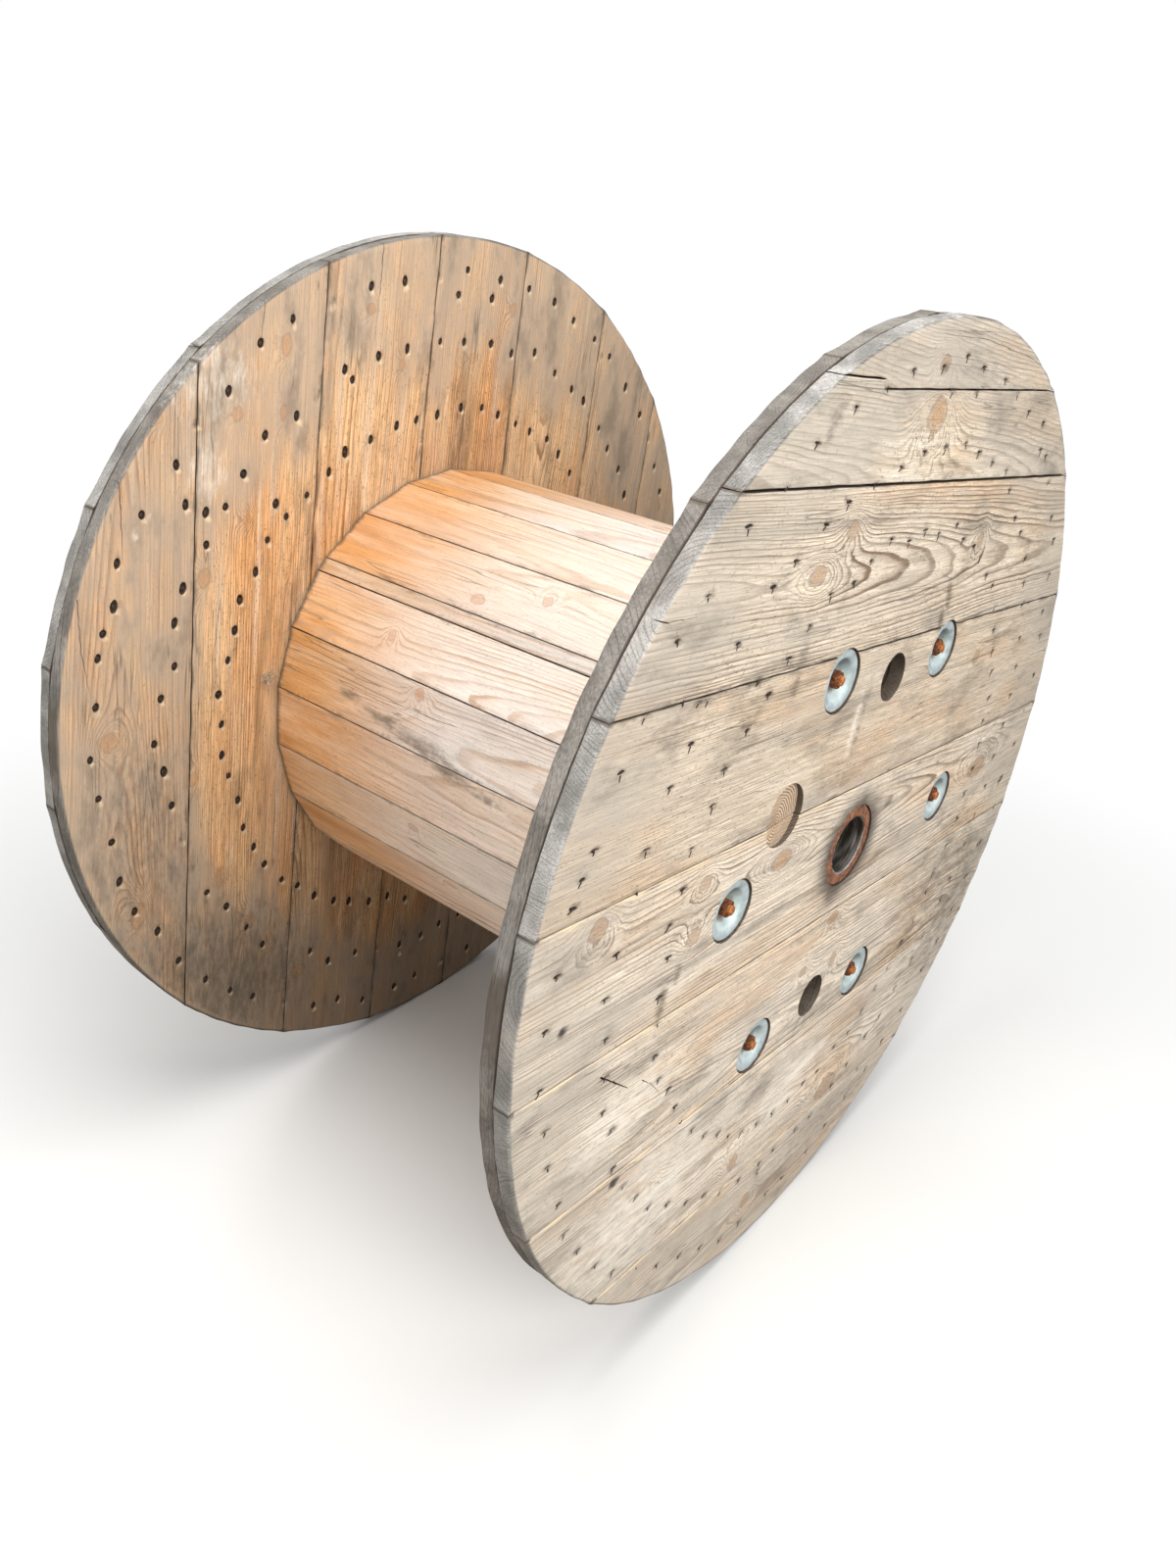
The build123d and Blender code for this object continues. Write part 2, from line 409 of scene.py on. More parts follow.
@dataclass(frozen=True)
class TimberFinish:
    """Softwood with growth rings, fibres, knots, stains and weathering, with painted shade in holes, in gaps
    and low down, and painted light in some marks.
    """

    pale: Colour
    late: Colour
    warm: Colour
    grey: Colour
    aged: Colour
    aged_from: float
    aged_by: float = 0.7
    rear_tone: Colour | None = None
    warmth: float = 0.4
    greyness: float = 0.4
    contrast: float = 0.55
    dirt: float = 0.5
    brushed: float = 1.0
    smudged: float = 0.5
    rim: Colour = paint(156, 153, 148)
    # Painted shade: the tint that darkens the rim towards the bottom.
    rim_low_shade: Colour = paint(172, 160, 148)
    inner_rim: Colour = paint(126, 122, 116)
    relief: float = 0.16 * MM
    # Dirt and painted shade in holes, cracks, open joints and at the back of the planks.
    hollow_dirt_and_shade: Colour = paint(62, 50, 40)
    iron: Colour = paint(44, 38, 36)
    # Dirt in cracks and marks, and the painted shade that some marks carry.
    grime: Colour = paint(88, 78, 66)
    grease: Colour = paint(66, 60, 56)
    # Sun-faded wood, and the painted light that some marks carry.
    bleached_and_lit: Colour = paint(246, 238, 224)
    # Freshly torn wood, and the painted highlights on some upper arrises.
    fresh: Colour = paint(236, 212, 176)
    # How much dirt and painted shade darken the face towards the bottom.
    low_dirt_and_shade: float = 0.0
    knot_light: Colour = paint(214, 156, 100)
    knot_dark: Colour = paint(112, 72, 44)
    knot_depth: float = 0.6

    def dress(self, name: str, board: Board, grain: Grain) -> bpy.types.Material:
        """The finish as one plank has it.

        Args:
            name: The material's name.
            board: Where the plank lies.
            grain: How its wood grew.

        Returns:
            The material.
        """
        graph = Graph.named(name)
        rng = np.random.default_rng(grain.seed)
        wood = Wood.of(graph, board, rng)
        lift, core, swirl, warm = self.knots(wood, grain.knots)
        late, line = self.growth(wood, grain, lift)
        bare = graph.minus(1.0, core)

        streak = wood.noise(6, 170, 4, 0.6)
        fibre = wood.noise(30, 640)
        patch = wood.noise(2.1, 8, 4, 0.6)
        veil = wood.noise(2.6, 10, 5, 0.62, (7, 3, 1))
        cloud = wood.noise(7, 16, 5, 0.65, (2, 6, 4))
        smudge = wood.noise(2.4, 30, 4, 0.6, (4, 9, 3))
        cream = wood.noise(3.4, 62, 3, 0.5, (8, 2, 7))
        sawn = wood.noise(420, 14, 1)
        speckle = wood.noise(190, 330, 1)

        colour = self.pale
        if self.rear_tone is not None:
            start = rng.uniform(-0.7, -0.1) * INNER_FACE
            share = graph.math("POWER", graph.span(wood.spindle, start, 0.9 * INNER_FACE), 1.4)
            colour = graph.mix(share, self.pale, self.rear_tone)
        colour = graph.mix(graph.span(patch, 0.42, 0.66, 0, self.warmth), colour, self.warm)
        colour = graph.mix(1.0, colour, grain.tone, "MULTIPLY")
        strength = self.contrast * grain.contrast
        colour = graph.mix(graph.times(graph.times(late, bare), 0.55 * strength), colour, self.late)
        dark_line = graph.math("MULTIPLY", graph.times(line, bare), 0.8 * strength, clamp=True)
        colour = graph.mix(dark_line, colour, graph.shade(self.late, 0.58))
        colour = graph.mix(graph.span(cream, 0.54, 0.7, 0, 0.42 * self.smudged), colour, self.bleached_and_lit)
        brushed = self.brushed
        colour = graph.shade(colour, graph.span(streak, 0.3, 0.7, 1 - 0.15 * brushed, 1 + 0.12 * brushed))
        colour = graph.shade(colour, graph.span(fibre, 0.3, 0.7, 1 - 0.26 * brushed, 1 + 0.16 * brushed))
        colour = graph.shade(colour, graph.span(speckle, 0.6, 0.72, 1.0, 1 - 0.42 * brushed))
        colour = graph.shade(colour, graph.span(smudge, 0.5, 0.7, 1.0, 1 - 0.6 * self.smudged))
        colour = graph.mix(graph.span(veil, 0.45, 0.72, 0, self.greyness), colour, self.grey)
        colour = self.aged_towards_rim(wood, colour, veil, cloud)
        colour = self.paint_knots(wood, colour, core, swirl, warm)
        colour, shake = self.shakes(wood, colour)
        colour = self.weathered_rim(wood, colour, line)
        colour = self.stained(wood, colour)
        colour = self.dark_hollows(wood, colour)

        height = graph.times_plus(line, self.relief, graph.times_plus(fibre, 0.2 * MM))
        height = graph.times_plus(sawn, 0.07 * MM, height)
        height = graph.times_plus(shake, -0.5 * MM, height)
        rough = graph.span(veil, 0.3, 0.7, 0.74, 0.9)
        return graph.finish(colour, rough, graph.bump(height), Specular_IOR_Level=0.25)

    def aged_towards_rim(self, wood: Wood, colour: Socket, veil: Socket, cloud: Socket) -> Socket:
        """The colour with the dirt and the greying that grow towards the flange's rim, and, where set, the
        dirt and painted shade that darken it towards the bottom.

        Args:
            wood: The plank's places.
            colour: The colour so far.
            veil: Broad noise.
            cloud: Finer noise.

        Returns:
            The colour.
        """
        graph = wood.graph
        uneven = graph.times_plus(veil, 260 * MM, graph.minus(wood.radius, 130 * MM))
        outer = graph.span(uneven, self.aged_from, self.aged_from + 90 * MM, 0, self.aged_by)
        colour = graph.mix(graph.times(outer, graph.span(cloud, 0.3, 0.62, 0.45, 1)), colour, self.aged)
        colour = graph.mix(graph.span(cloud, 0.52, 0.68, 0, self.dirt), colour, graph.shade(colour, 0.6))
        if not self.low_dirt_and_shade:
            return colour
        # Dirt and painted shade, darker towards the bottom.
        return graph.shade(colour, graph.span(wood.height, -0.65, -0.05, 1 - self.low_dirt_and_shade, 1.0))

    def dark_hollows(self, wood: Wood, colour: Socket) -> Socket:
        """The colour with the walls of holes and joints darkened by dirt and painted shade.

        Args:
            wood: The plank's places.
            colour: The colour so far.

        Returns:
            The colour.
        """
        graph, board = wood.graph, wood.board
        depth = graph.split(wood.place)[2]
        # Dirt and painted shade deep in holes, recesses and cracks.
        deep = graph.span(depth, 1.7 * MM, 3.6 * MM, 0, 0.86)
        if abs(board.origin[1]) == HALF_WIDTH:
            # Painted shade on the upright walls of the bored holes.
            upright = graph.split(graph.add("ShaderNodeNewGeometry").outputs["True Normal"])[1]
            wall = graph.span(graph.math("ABSOLUTE", upright), 0.1, 0.4, 0.86, 0)
            bored = graph.span(wood.radius, ROD_CIRCLE_RADIUS + 60 * MM, ROD_CIRCLE_RADIUS + 64 * MM, 1, 0)
            wall = graph.times(graph.times(wall, bored), graph.span(depth, 0.3 * MM, 0.9 * MM))
            deep = graph.math("MAXIMUM", deep, wall)
        inside = graph.span(wood.radius, FLANGE_RADIUS - 12 * MM, FLANGE_RADIUS - 7 * MM, 1, 0)
        deep = graph.times(deep, inside)
        if board.origin[1] == -HALF_WIDTH:
            colour, beyond = self.ringed_recess(wood, colour, depth)
            deep = graph.times(deep, beyond)
        colour = graph.mix(deep, colour, self.hollow_dirt_and_shade)
        # The staves close up behind, so no gap shows between them.
        if self.rear_tone is not None:
            return colour
        # Painted shade at the back of the plank, where it shows through open joints.
        gap = graph.span(depth, board.thickness - 2.2 * MM, board.thickness - 0.8 * MM, 0, 0.9)
        return graph.mix(gap, colour, self.hollow_dirt_and_shade)

    def ringed_recess(self, wood: Wood, colour: Socket, depth: Socket) -> tuple[Socket, Socket]:
        """The colour with the growth rings that the slanted floor of the stray recess cuts through.

        Args:
            wood: The plank's places.
            colour: The colour so far.
            depth: The depth under the plank's face.

        Returns:
            The colour, and the mask of all that lies outside the recess.
        """
        graph = wood.graph
        a, c = RECESS_PLACE
        spread = graph.stretch(graph.shift(wood.place, (-a, -c, 0.0)), 1, 1, 0)
        edge = COUNTERBORE_RADIUS
        beyond = graph.span(graph.distance(spread), edge - 1.2 * MM, edge - 0.5 * MM)
        off = graph.distance(graph.shift(spread, (0.35 * edge, 0.25 * edge, 0.0)))
        wander = graph.noise(wood.place, scale=38, detail=2)
        ring = graph.math("FRACT", graph.times_plus(off, 1 / (4.2 * MM), graph.times(wander, 2.2)))
        ring = graph.times(graph.span(ring, 0.35, 0.7), graph.span(ring, 0.85, 1.0, 1, 0))
        floor = graph.times(graph.minus(1.0, beyond), graph.span(depth, 1.4 * MM, 2.2 * MM))
        colour = graph.mix(graph.times(floor, 0.4), colour, self.warm)
        return graph.mix(graph.times(ring, floor), colour, graph.shade(self.late, 0.85)), beyond

    def knots(self, wood: Wood, knots: Iterable[Knot]) -> tuple[object, object, object, object]:
        """How far the knots push the rings aside, where their cores are, and the rings and warmth in them.

        Args:
            wood: The plank's places.
            knots: The knots.

        Returns:
            The push in metres, the cores' mask, the cores' own rings and how orange they are.
        """
        graph = wood.graph
        lift = core = swirl = warm = 0.0
        for knot in knots:
            a, c = knot.on(wood.board)
            radius = knot.radius * MM
            shape = np.random.default_rng(int(abs(knot.x * 7 + knot.z * 13 + knot.y))).uniform(0.65, 1.1)
            offset = graph.stretch(graph.shift(wood.place, (-a, -c, 0)), 1 / radius, 1 / radius, 0)
            ripple = graph.noise(offset, scale=1.1, detail=3)
            spread = graph.distance(graph.stretch(offset, shape, 1 / shape, 1))
            distance = graph.times_plus(ripple, 0.9, graph.minus(spread, 0.45))
            bulge = graph.math("EXPONENT", graph.times(graph.times(distance, distance), -0.22))
            lift = graph.times_plus(bulge, 2.0 * radius, lift)
            own_core = graph.span(distance, 0.55, 1.3, 1, 0)
            core = graph.math("MAXIMUM", core, own_core)
            warm = graph.math("MAXIMUM", warm, graph.times(own_core, knot.warmth))
            rings = graph.math("FRACT", graph.times_plus(distance, 3.4, graph.times(ripple, 2.6)))
            shown = graph.times(rings, graph.span(distance, 0.9, 1.1, 1, 0))
            swirl = graph.math("MAXIMUM", swirl, shown)
        return lift, core, swirl, warm

    def growth(self, wood: Wood, grain: Grain, lift: object) -> tuple[Socket, Socket]:
        """The growth rings that the plank's faces cut through.

        Args:
            wood: The plank's places.
            grain: How the wood grew.
            lift: How far the knots push the rings.

        Returns:
            How much late wood shows, and the dark lines at its end.
        """
        graph = wood.graph
        x, y, z = graph.split(wood.place)
        sway = wood.noise(1.7, 7, 1)
        waver = wood.noise(8, 42)
        drift = wood.noise(1.1, 0, 0)
        sideways = graph.times_plus(sway, 2 * grain.sway, graph.minus(y, grain.heart + grain.sway))
        down = graph.times_plus(x, grain.run_out, graph.plus(z, grain.pith_depth))
        down = graph.times_plus(drift, 50 * MM, graph.minus(down, 25 * MM))
        sum_of_squares = graph.plus(graph.times(sideways, sideways), graph.times(down, down))
        radius = graph.minus(graph.math("SQRT", sum_of_squares), lift)
        radius = graph.times_plus(waver, 5 * MM, radius)
        width = graph.noise(graph.join(graph.times(radius, 60), grain.seed * 1.7, 0.0), detail=1)
        rings = graph.times_plus(radius, 1 / grain.ring_pitch, graph.times(width, 3.0))
        saw = graph.math("FRACT", rings)
        late = graph.times(graph.span(saw, 0.2, 0.85), graph.span(saw, 0.9, 1.0, 1, 0))
        line = graph.times(graph.span(saw, 0.62, 0.82), graph.span(saw, 0.94, 1.0, 1, 0))
        ring_number = graph.join(graph.math("FLOOR", rings), grain.seed * 3.1, 0.0)
        strength = graph.span(graph.noise(ring_number, scale=2.3, detail=0), 0.3, 0.7, 0.5, 1.0)
        fade = wood.noise(4.5, 26)
        strength = graph.times(strength, graph.span(fade, 0.3, 0.6, 0.4, 1.0))
        return graph.times(late, strength), graph.times(line, strength)

    def paint_knots(self, wood: Wood, colour: Socket, core: object, swirl: object, warm: object) -> Socket:
        """The colour with the knots laid in.

        Args:
            wood: The plank's places.
            colour: The colour so far.
            core: The mask of the knots' cores.
            swirl: The rings in the cores.
            warm: How orange the cores are.

        Returns:
            The colour.
        """
        if not isinstance(core, bpy.types.NodeSocket):
            return colour
        graph = wood.graph
        light = graph.mix(warm, graph.mix(0.5, self.late, self.pale), self.knot_light)
        inside = graph.mix(graph.span(swirl, 0.35, 1.0, 0, 0.7), light, self.knot_dark)
        inside = graph.mix(0.35, inside, colour, "MULTIPLY")
        rim = graph.times(graph.span(core, 0.02, 0.3), graph.span(core, 0.35, 0.9, 1, 0))
        colour = graph.mix(graph.times(core, self.knot_depth), colour, inside)
        return graph.mix(graph.times(rim, 0.55 * self.knot_depth), colour, self.knot_dark)

    def shakes(self, wood: Wood, colour: Socket) -> tuple[Socket, Socket]:
        """The colour with fine drying cracks along the grain.

        Args:
            wood: The plank's places.
            colour: The colour so far.

        Returns:
            The colour and the cracks' mask.
        """
        graph = wood.graph
        lines = wood.noise(2.2, 55, moved=(3, 8, 2))
        where = wood.noise(4, 14, 1, moved=(1, 5, 9))
        near = graph.math("ABSOLUTE", graph.minus(lines, 0.5))
        shake = graph.times(graph.span(near, 0.0, 0.012, 1, 0), graph.span(where, 0.54, 0.62))
        return graph.mix(graph.times(shake, 0.55), colour, self.grime), shake

    def weathered_rim(self, wood: Wood, colour: Socket, line: Socket) -> Socket:
        """The colour with the sawn rim of the flange weathered, and painted shade that darkens it towards the
        bottom.

        Args:
            wood: The plank's places.
            colour: The colour so far.
            line: The dark lines of the growth rings.

        Returns:
            The colour.
        """
        graph = wood.graph
        is_inner = abs(wood.board.origin[1]) < INNER_FACE + 1 * MM
        tone = self.inner_rim if is_inner else self.rim
        tone = graph.shade(tone, graph.span(wood.noise(30, 620, 3, 0.6), 0.3, 0.7, 0.66, 1.24))
        blotch = graph.noise(wood.own, scale=17, detail=4, rough=0.6)
        tone = graph.shade(tone, graph.span(blotch, 0.35, 0.66, 1.16, 0.58))
        tone = graph.shade(tone, graph.span(line, 0.0, 1.0, 1.04, 0.66))
        # Painted shade: the rim darkens towards the bottom.
        rim_low_shade = graph.mix(graph.span(wood.height, -0.6, 0.2), self.rim_low_shade, WHITE)
        tone = graph.mix(1.0, tone, rim_low_shade, "MULTIPLY")
        edge = graph.span(wood.radius, FLANGE_RADIUS - 6 * MM, FLANGE_RADIUS - 2.5 * MM, 0, 0.94)
        return graph.mix(edge, colour, tone)

    def stained(self, wood: Wood, colour: Socket) -> Socket:
        """The colour with the marks that the mesh carries: stains, and also painted light, highlights and
        shade.

        Args:
            wood: The plank's places.
            colour: The colour so far.

        Returns:
            The colour.
        """
        graph = wood.graph
        ragged = wood.noise(34, 110, 5, 0.7)
        for mark, stain, depth, edge in (
            ("bleach", self.bleached_and_lit, 0.85, 1.3),
            ("fresh", self.fresh, 0.9, 1.3),
            ("grime", self.grime, 0.75, 1.3),
            ("grease", self.grease, 0.9, 0.4),
            ("iron", self.iron, 0.9, 1.3),
        ):
            amount = graph.plus(graph.mark(mark), graph.times_plus(ragged, edge, -edge / 2))
            marked = graph.span(graph.mark(mark), 0.0, 0.12)
            amount = graph.times(graph.span(amount, 0.12, 0.85, 0, depth), marked)
            colour = graph.mix(amount, colour, stain)
        return colour


@dataclass(frozen=True)
class IronFinish:
    """Rusted or weathered steel with a patchy, pitted skin."""

    base: Colour
    crust: Colour
    shadow: Colour
    cover: float = 0.5
    metallic: float = 0.0
    rough: float = 0.8
    lumps: float = 0.5 * MM
    scale: float = 130.0

    def dress(self, name: str) -> bpy.types.Material:
        """The finish as a material.

        Args:
            name: The material's name.

        Returns:
            The material.
        """
        graph = Graph.named(name)
        place = graph.object_place()
        patch = graph.noise(place, scale=self.scale, detail=4, rough=0.6)
        grains = graph.noise(place, scale=self.scale * 7, detail=3, rough=0.7)
        cover = graph.span(patch, 0.62 - self.cover * 0.35, 0.72 - self.cover * 0.3)
        colour = graph.mix(cover, self.base, self.crust)
        colour = graph.mix(graph.span(grains, 0.5, 0.75, 0, 0.7), colour, self.shadow)
        height = graph.times_plus(patch, self.lumps, graph.times(grains, self.lumps / 3))
        rough = graph.span(patch, 0.3, 0.7, self.rough - 0.1, self.rough + 0.1)
        return graph.finish(colour, rough, graph.bump(height), Metallic=self.metallic)


@dataclass(frozen=True)
class BushFinish:
    """Thick flaking rust on the lip, and a dark bore that the spindle has rubbed smooth."""

    bore: float
    rust: Colour = paint(150, 98, 68)
    crust: Colour = paint(96, 66, 50)
    shadow: Colour = paint(48, 38, 34)
    orange: Colour = paint(206, 138, 88)
    steel: Colour = paint(184, 178, 170)
    grease: Colour = paint(92, 84, 76)

    def dress(self, name: str) -> bpy.types.Material:
        """The finish as a material.

        Args:
            name: The material's name.

        Returns:
            The material.
        """
        graph = Graph.named(name)
        place = graph.object_place()
        x, _, z = graph.split(place)
        radius = graph.distance(graph.join(x, 0.0, z))
        patch = graph.noise(place, scale=120, detail=4, rough=0.65)
        grains = graph.noise(graph.shift(place, (3, 1, 2)), scale=560, detail=3, rough=0.7)
        colour = graph.mix(graph.span(patch, 0.42, 0.58), self.rust, self.crust)
        colour = graph.mix(graph.span(patch, 0.3, 0.4, 0.5, 0), colour, self.orange)
        colour = graph.mix(graph.span(grains, 0.53, 0.68, 0, 0.85), colour, self.shadow)
        colour = graph.mix(graph.span(grains, 0.32, 0.44, 0.7, 0), colour, self.orange)
        bands = graph.noise(graph.stretch(place, 14, 70, 14), detail=3)
        worn = graph.mix(graph.span(bands, 0.42, 0.6), self.grease, self.steel)
        worn = graph.mix(graph.span(patch, 0.55, 0.7, 0, 0.5), worn, self.crust)
        inside = graph.span(radius, self.bore - 1.0 * MM, self.bore + 0.6 * MM, 1, 0)
        colour = graph.mix(inside, colour, worn)
        height = graph.times_plus(patch, 0.9 * MM, graph.times(grains, 0.5 * MM))
        height = graph.times(height, graph.span(inside, 0.0, 1.0, 1.0, 0.08))
        rough = graph.span(inside, 0.0, 1.0, 0.9, 0.3)
        return graph.finish(colour, rough, graph.bump(height), Metallic=graph.times(inside, 0.75))


@dataclass(frozen=True)
class ZincFinish:
    """Dull hot-dip galvanising, with a faint spangle, a little dirt, and light and shade painted into the
    dish.
    """

    bright: Colour = paint(192, 203, 204)
    dull: Colour = paint(146, 160, 163)
    dirt: Colour = paint(128, 120, 104)
    # Painted shade and painted light: tints for the parts of the dish that face down and up.
    under: Colour = (0.21, 0.23, 0.23, 1.0)
    painted_light_tint: Colour = (1.42, 1.41, 1.34, 1.0)

    def dress(self, name: str) -> bpy.types.Material:
        """The finish as a material.

        Args:
            name: The material's name.

        Returns:
            The material.
        """
        graph = Graph.named(name)
        place = graph.object_place()
        spangle = graph.add("ShaderNodeTexVoronoi", {"Vector": place, "Scale": 190})
        flakes = graph.add("ShaderNodeSeparateColor", {0: spangle.outputs["Color"]})
        cloud = graph.noise(place, scale=60, detail=4)
        spangle_tone = graph.times_plus(flakes.outputs[0], 0.3, graph.span(cloud, 0.35, 0.65, 0, 0.5))
        colour = graph.mix(spangle_tone, self.bright, self.dull)
        colour = graph.mix(graph.span(cloud, 0.58, 0.74, 0, 0.45), colour, self.dirt)
        depth = graph.minus(HALF_WIDTH, graph.math("ABSOLUTE", graph.split(place)[1]))
        # The dish is duller than the rim: dirt, and painted shade inside it.
        dish = graph.span(depth, 4.4 * MM, 7 * MM, 0, 1)
        colour = graph.mix(graph.times(dish, 0.3), colour, self.dull)
        # Painted light and shade in the dish: lighter where it faces up and to the left, darker where it
        # faces down and to the right.
        across, _, facing = graph.split(graph.add("ShaderNodeNewGeometry").outputs["Normal"])
        facing = graph.times_plus(across, -0.45, facing)
        shown = graph.mix(graph.span(facing, -0.6, 0.5), self.under, self.painted_light_tint)
        colour = graph.mix(1.0, colour, graph.mix(dish, WHITE, shown), "MULTIPLY")
        # Dirt and painted shade darken the bottom of the dish, round the nut.
        bottom = graph.plus(depth, graph.times_plus(cloud, 8 * MM, -4 * MM))
        colour = graph.mix(graph.span(bottom, 12 * MM, 16 * MM, 0, 0.75), colour, self.dirt)
        rough = graph.span(cloud, 0.3, 0.7, 0.4, 0.55)
        return graph.finish(colour, rough, graph.bump(graph.times(cloud, 0.12 * MM)), Metallic=0.1)


def flange_board(side: Side, ply: Ply) -> Board:
    """Where the planks of one ply lie.

    Args:
        side: The flange.
        ply: The ply.

    Returns:
        The board's axes.
    """
    sign = side.value
    if ply is Ply.OUTER:
        origin = np.array([0.0, sign * HALF_WIDTH, 0.0])
        return Board(origin, ALONG_OUTER, ACROSS_OUTER, np.array([0.0, -sign, 0.0]), PLY_THICKNESS)
    origin = np.array([0.0, sign * INNER_FACE, 0.0])
    return Board(origin, ACROSS_OUTER, ALONG_OUTER, np.array([0.0, sign, 0.0]), PLY_THICKNESS)


def cad_outline(node: str, board: Board, depth: float) -> Array:
    """The outline of a CAD node's flat face at one depth.

    Args:
        node: The node's name.
        board: Where it lies.
        depth: The face's depth under the exposed face.

    Returns:
        Its corners, along and across, anticlockwise.
    """
    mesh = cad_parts[node].data
    points = np.array([vertex.co for vertex in mesh.vertices])
    a, c, below = board.from_row(points)
    on_face = np.abs(below - depth) < 0.05 * MM
    keys = [(round(x / MM, 2), round(y / MM, 2)) for x, y in zip(a, c)]
    edges = set()
    for polygon in mesh.polygons:
        corners = list(polygon.vertices)
        if on_face[corners].all():
            for first, second in zip(corners, corners[1:] + corners[:1]):
                edges.add((keys[first], keys[second]))
    following = {first: second for first, second in edges if (second, first) not in edges}
    best: list[tuple[float, float]] = []
    best_area = 0.0
    while following:
        start = next(iter(following))
        loop = [start]
        at = following.pop(start)
        while at != start:
            loop.append(at)
            at = following.pop(at)
        flat = np.array(loop)
        area = 0.5 * np.sum(flat[:, 0] * np.roll(flat[:, 1], -1) - np.roll(flat[:, 0], -1) * flat[:, 1])
        if abs(area) > abs(best_area):
            best, best_area = loop, area
    outline = np.array(best) * MM
    return outline if best_area > 0 else outline[::-1]


@dataclass(frozen=True)
class Pit:
    """A small hole in the exposed face of a plank."""

    a: float
    c: float
    half_long: float
    half_wide: float
    depth: float
    turn: float = 0.0


@dataclass(frozen=True)
class Blot:
    """A soft mark on a flange's face, by its place in the row frame. Lengths are in millimetres."""

    mark: str
    x: float
    z: float
    half_long: float
    half_wide: float
    strength: float = 1.0
    turn: float = 0.0

    @classmethod
    def all(cls, mark: str, *rows: tuple[float, ...]) -> tuple["Blot", ...]:
        """Blots of one mark, by their places, sizes, strengths and turns."""
        return tuple(cls(mark, *row) for row in rows)

    def amount(self, points: Array) -> Array:
        """How strong the mark is at each point.

        Args:
            points: Points in the row frame, in metres.

        Returns:
            The strengths.
        """
        x, z = points[:, 0] / MM - self.x, points[:, 2] / MM - self.z
        cosine, sine = math.cos(math.radians(self.turn)), math.sin(math.radians(self.turn))
        far = ((x * cosine + z * sine) / self.half_long) ** 2
        far += ((z * cosine - x * sine) / self.half_wide) ** 2
        return self.strength * np.exp(-1.2 * far**1.4)


class Ripple:
    """Smooth, seeded unevenness, from 0 to its height."""

    def __init__(self, seed: int, height: float, along: float, across: float, waves: int = 7) -> None:
        """Draws the waves.

        Args:
            seed: The seed.
            height: The greatest value.
            along: The length of a wave along the grain.
            across: The length of a wave across it.
            waves: How many waves are summed.
        """
        rng = np.random.default_rng(seed)
        self.height = height
        self.fast = rng.uniform(0.5, 1.6, (waves, 2)) * rng.choice([-1, 1], (waves, 2))
        self.fast *= 2 * math.pi / np.array([along, across])
        self.phase = rng.uniform(0, 2 * math.pi, waves)

    def at(self, a: Array, c: Array) -> Array:
        """The unevenness at each place along and across the grain."""
        waves = np.sin(np.outer(a, self.fast[:, 0]) + np.outer(c, self.fast[:, 1]) + self.phase)
        return self.height * (0.5 + 0.5 * np.clip(waves.sum(1) / 3, -1, 1))


@dataclass(frozen=True)
class Wear:
    """How worn one plank is. Lengths are in millimetres."""

    sink: float = 0.6
    tilt: float = 0.3
    uneven: float = 0.5
    joint_round: float = 1.3
    end_round: float = 3.0
    open_low: float = 0.0
    open_high: float = 0.0
    trim: float = 0.6
    fray: float = 0.5


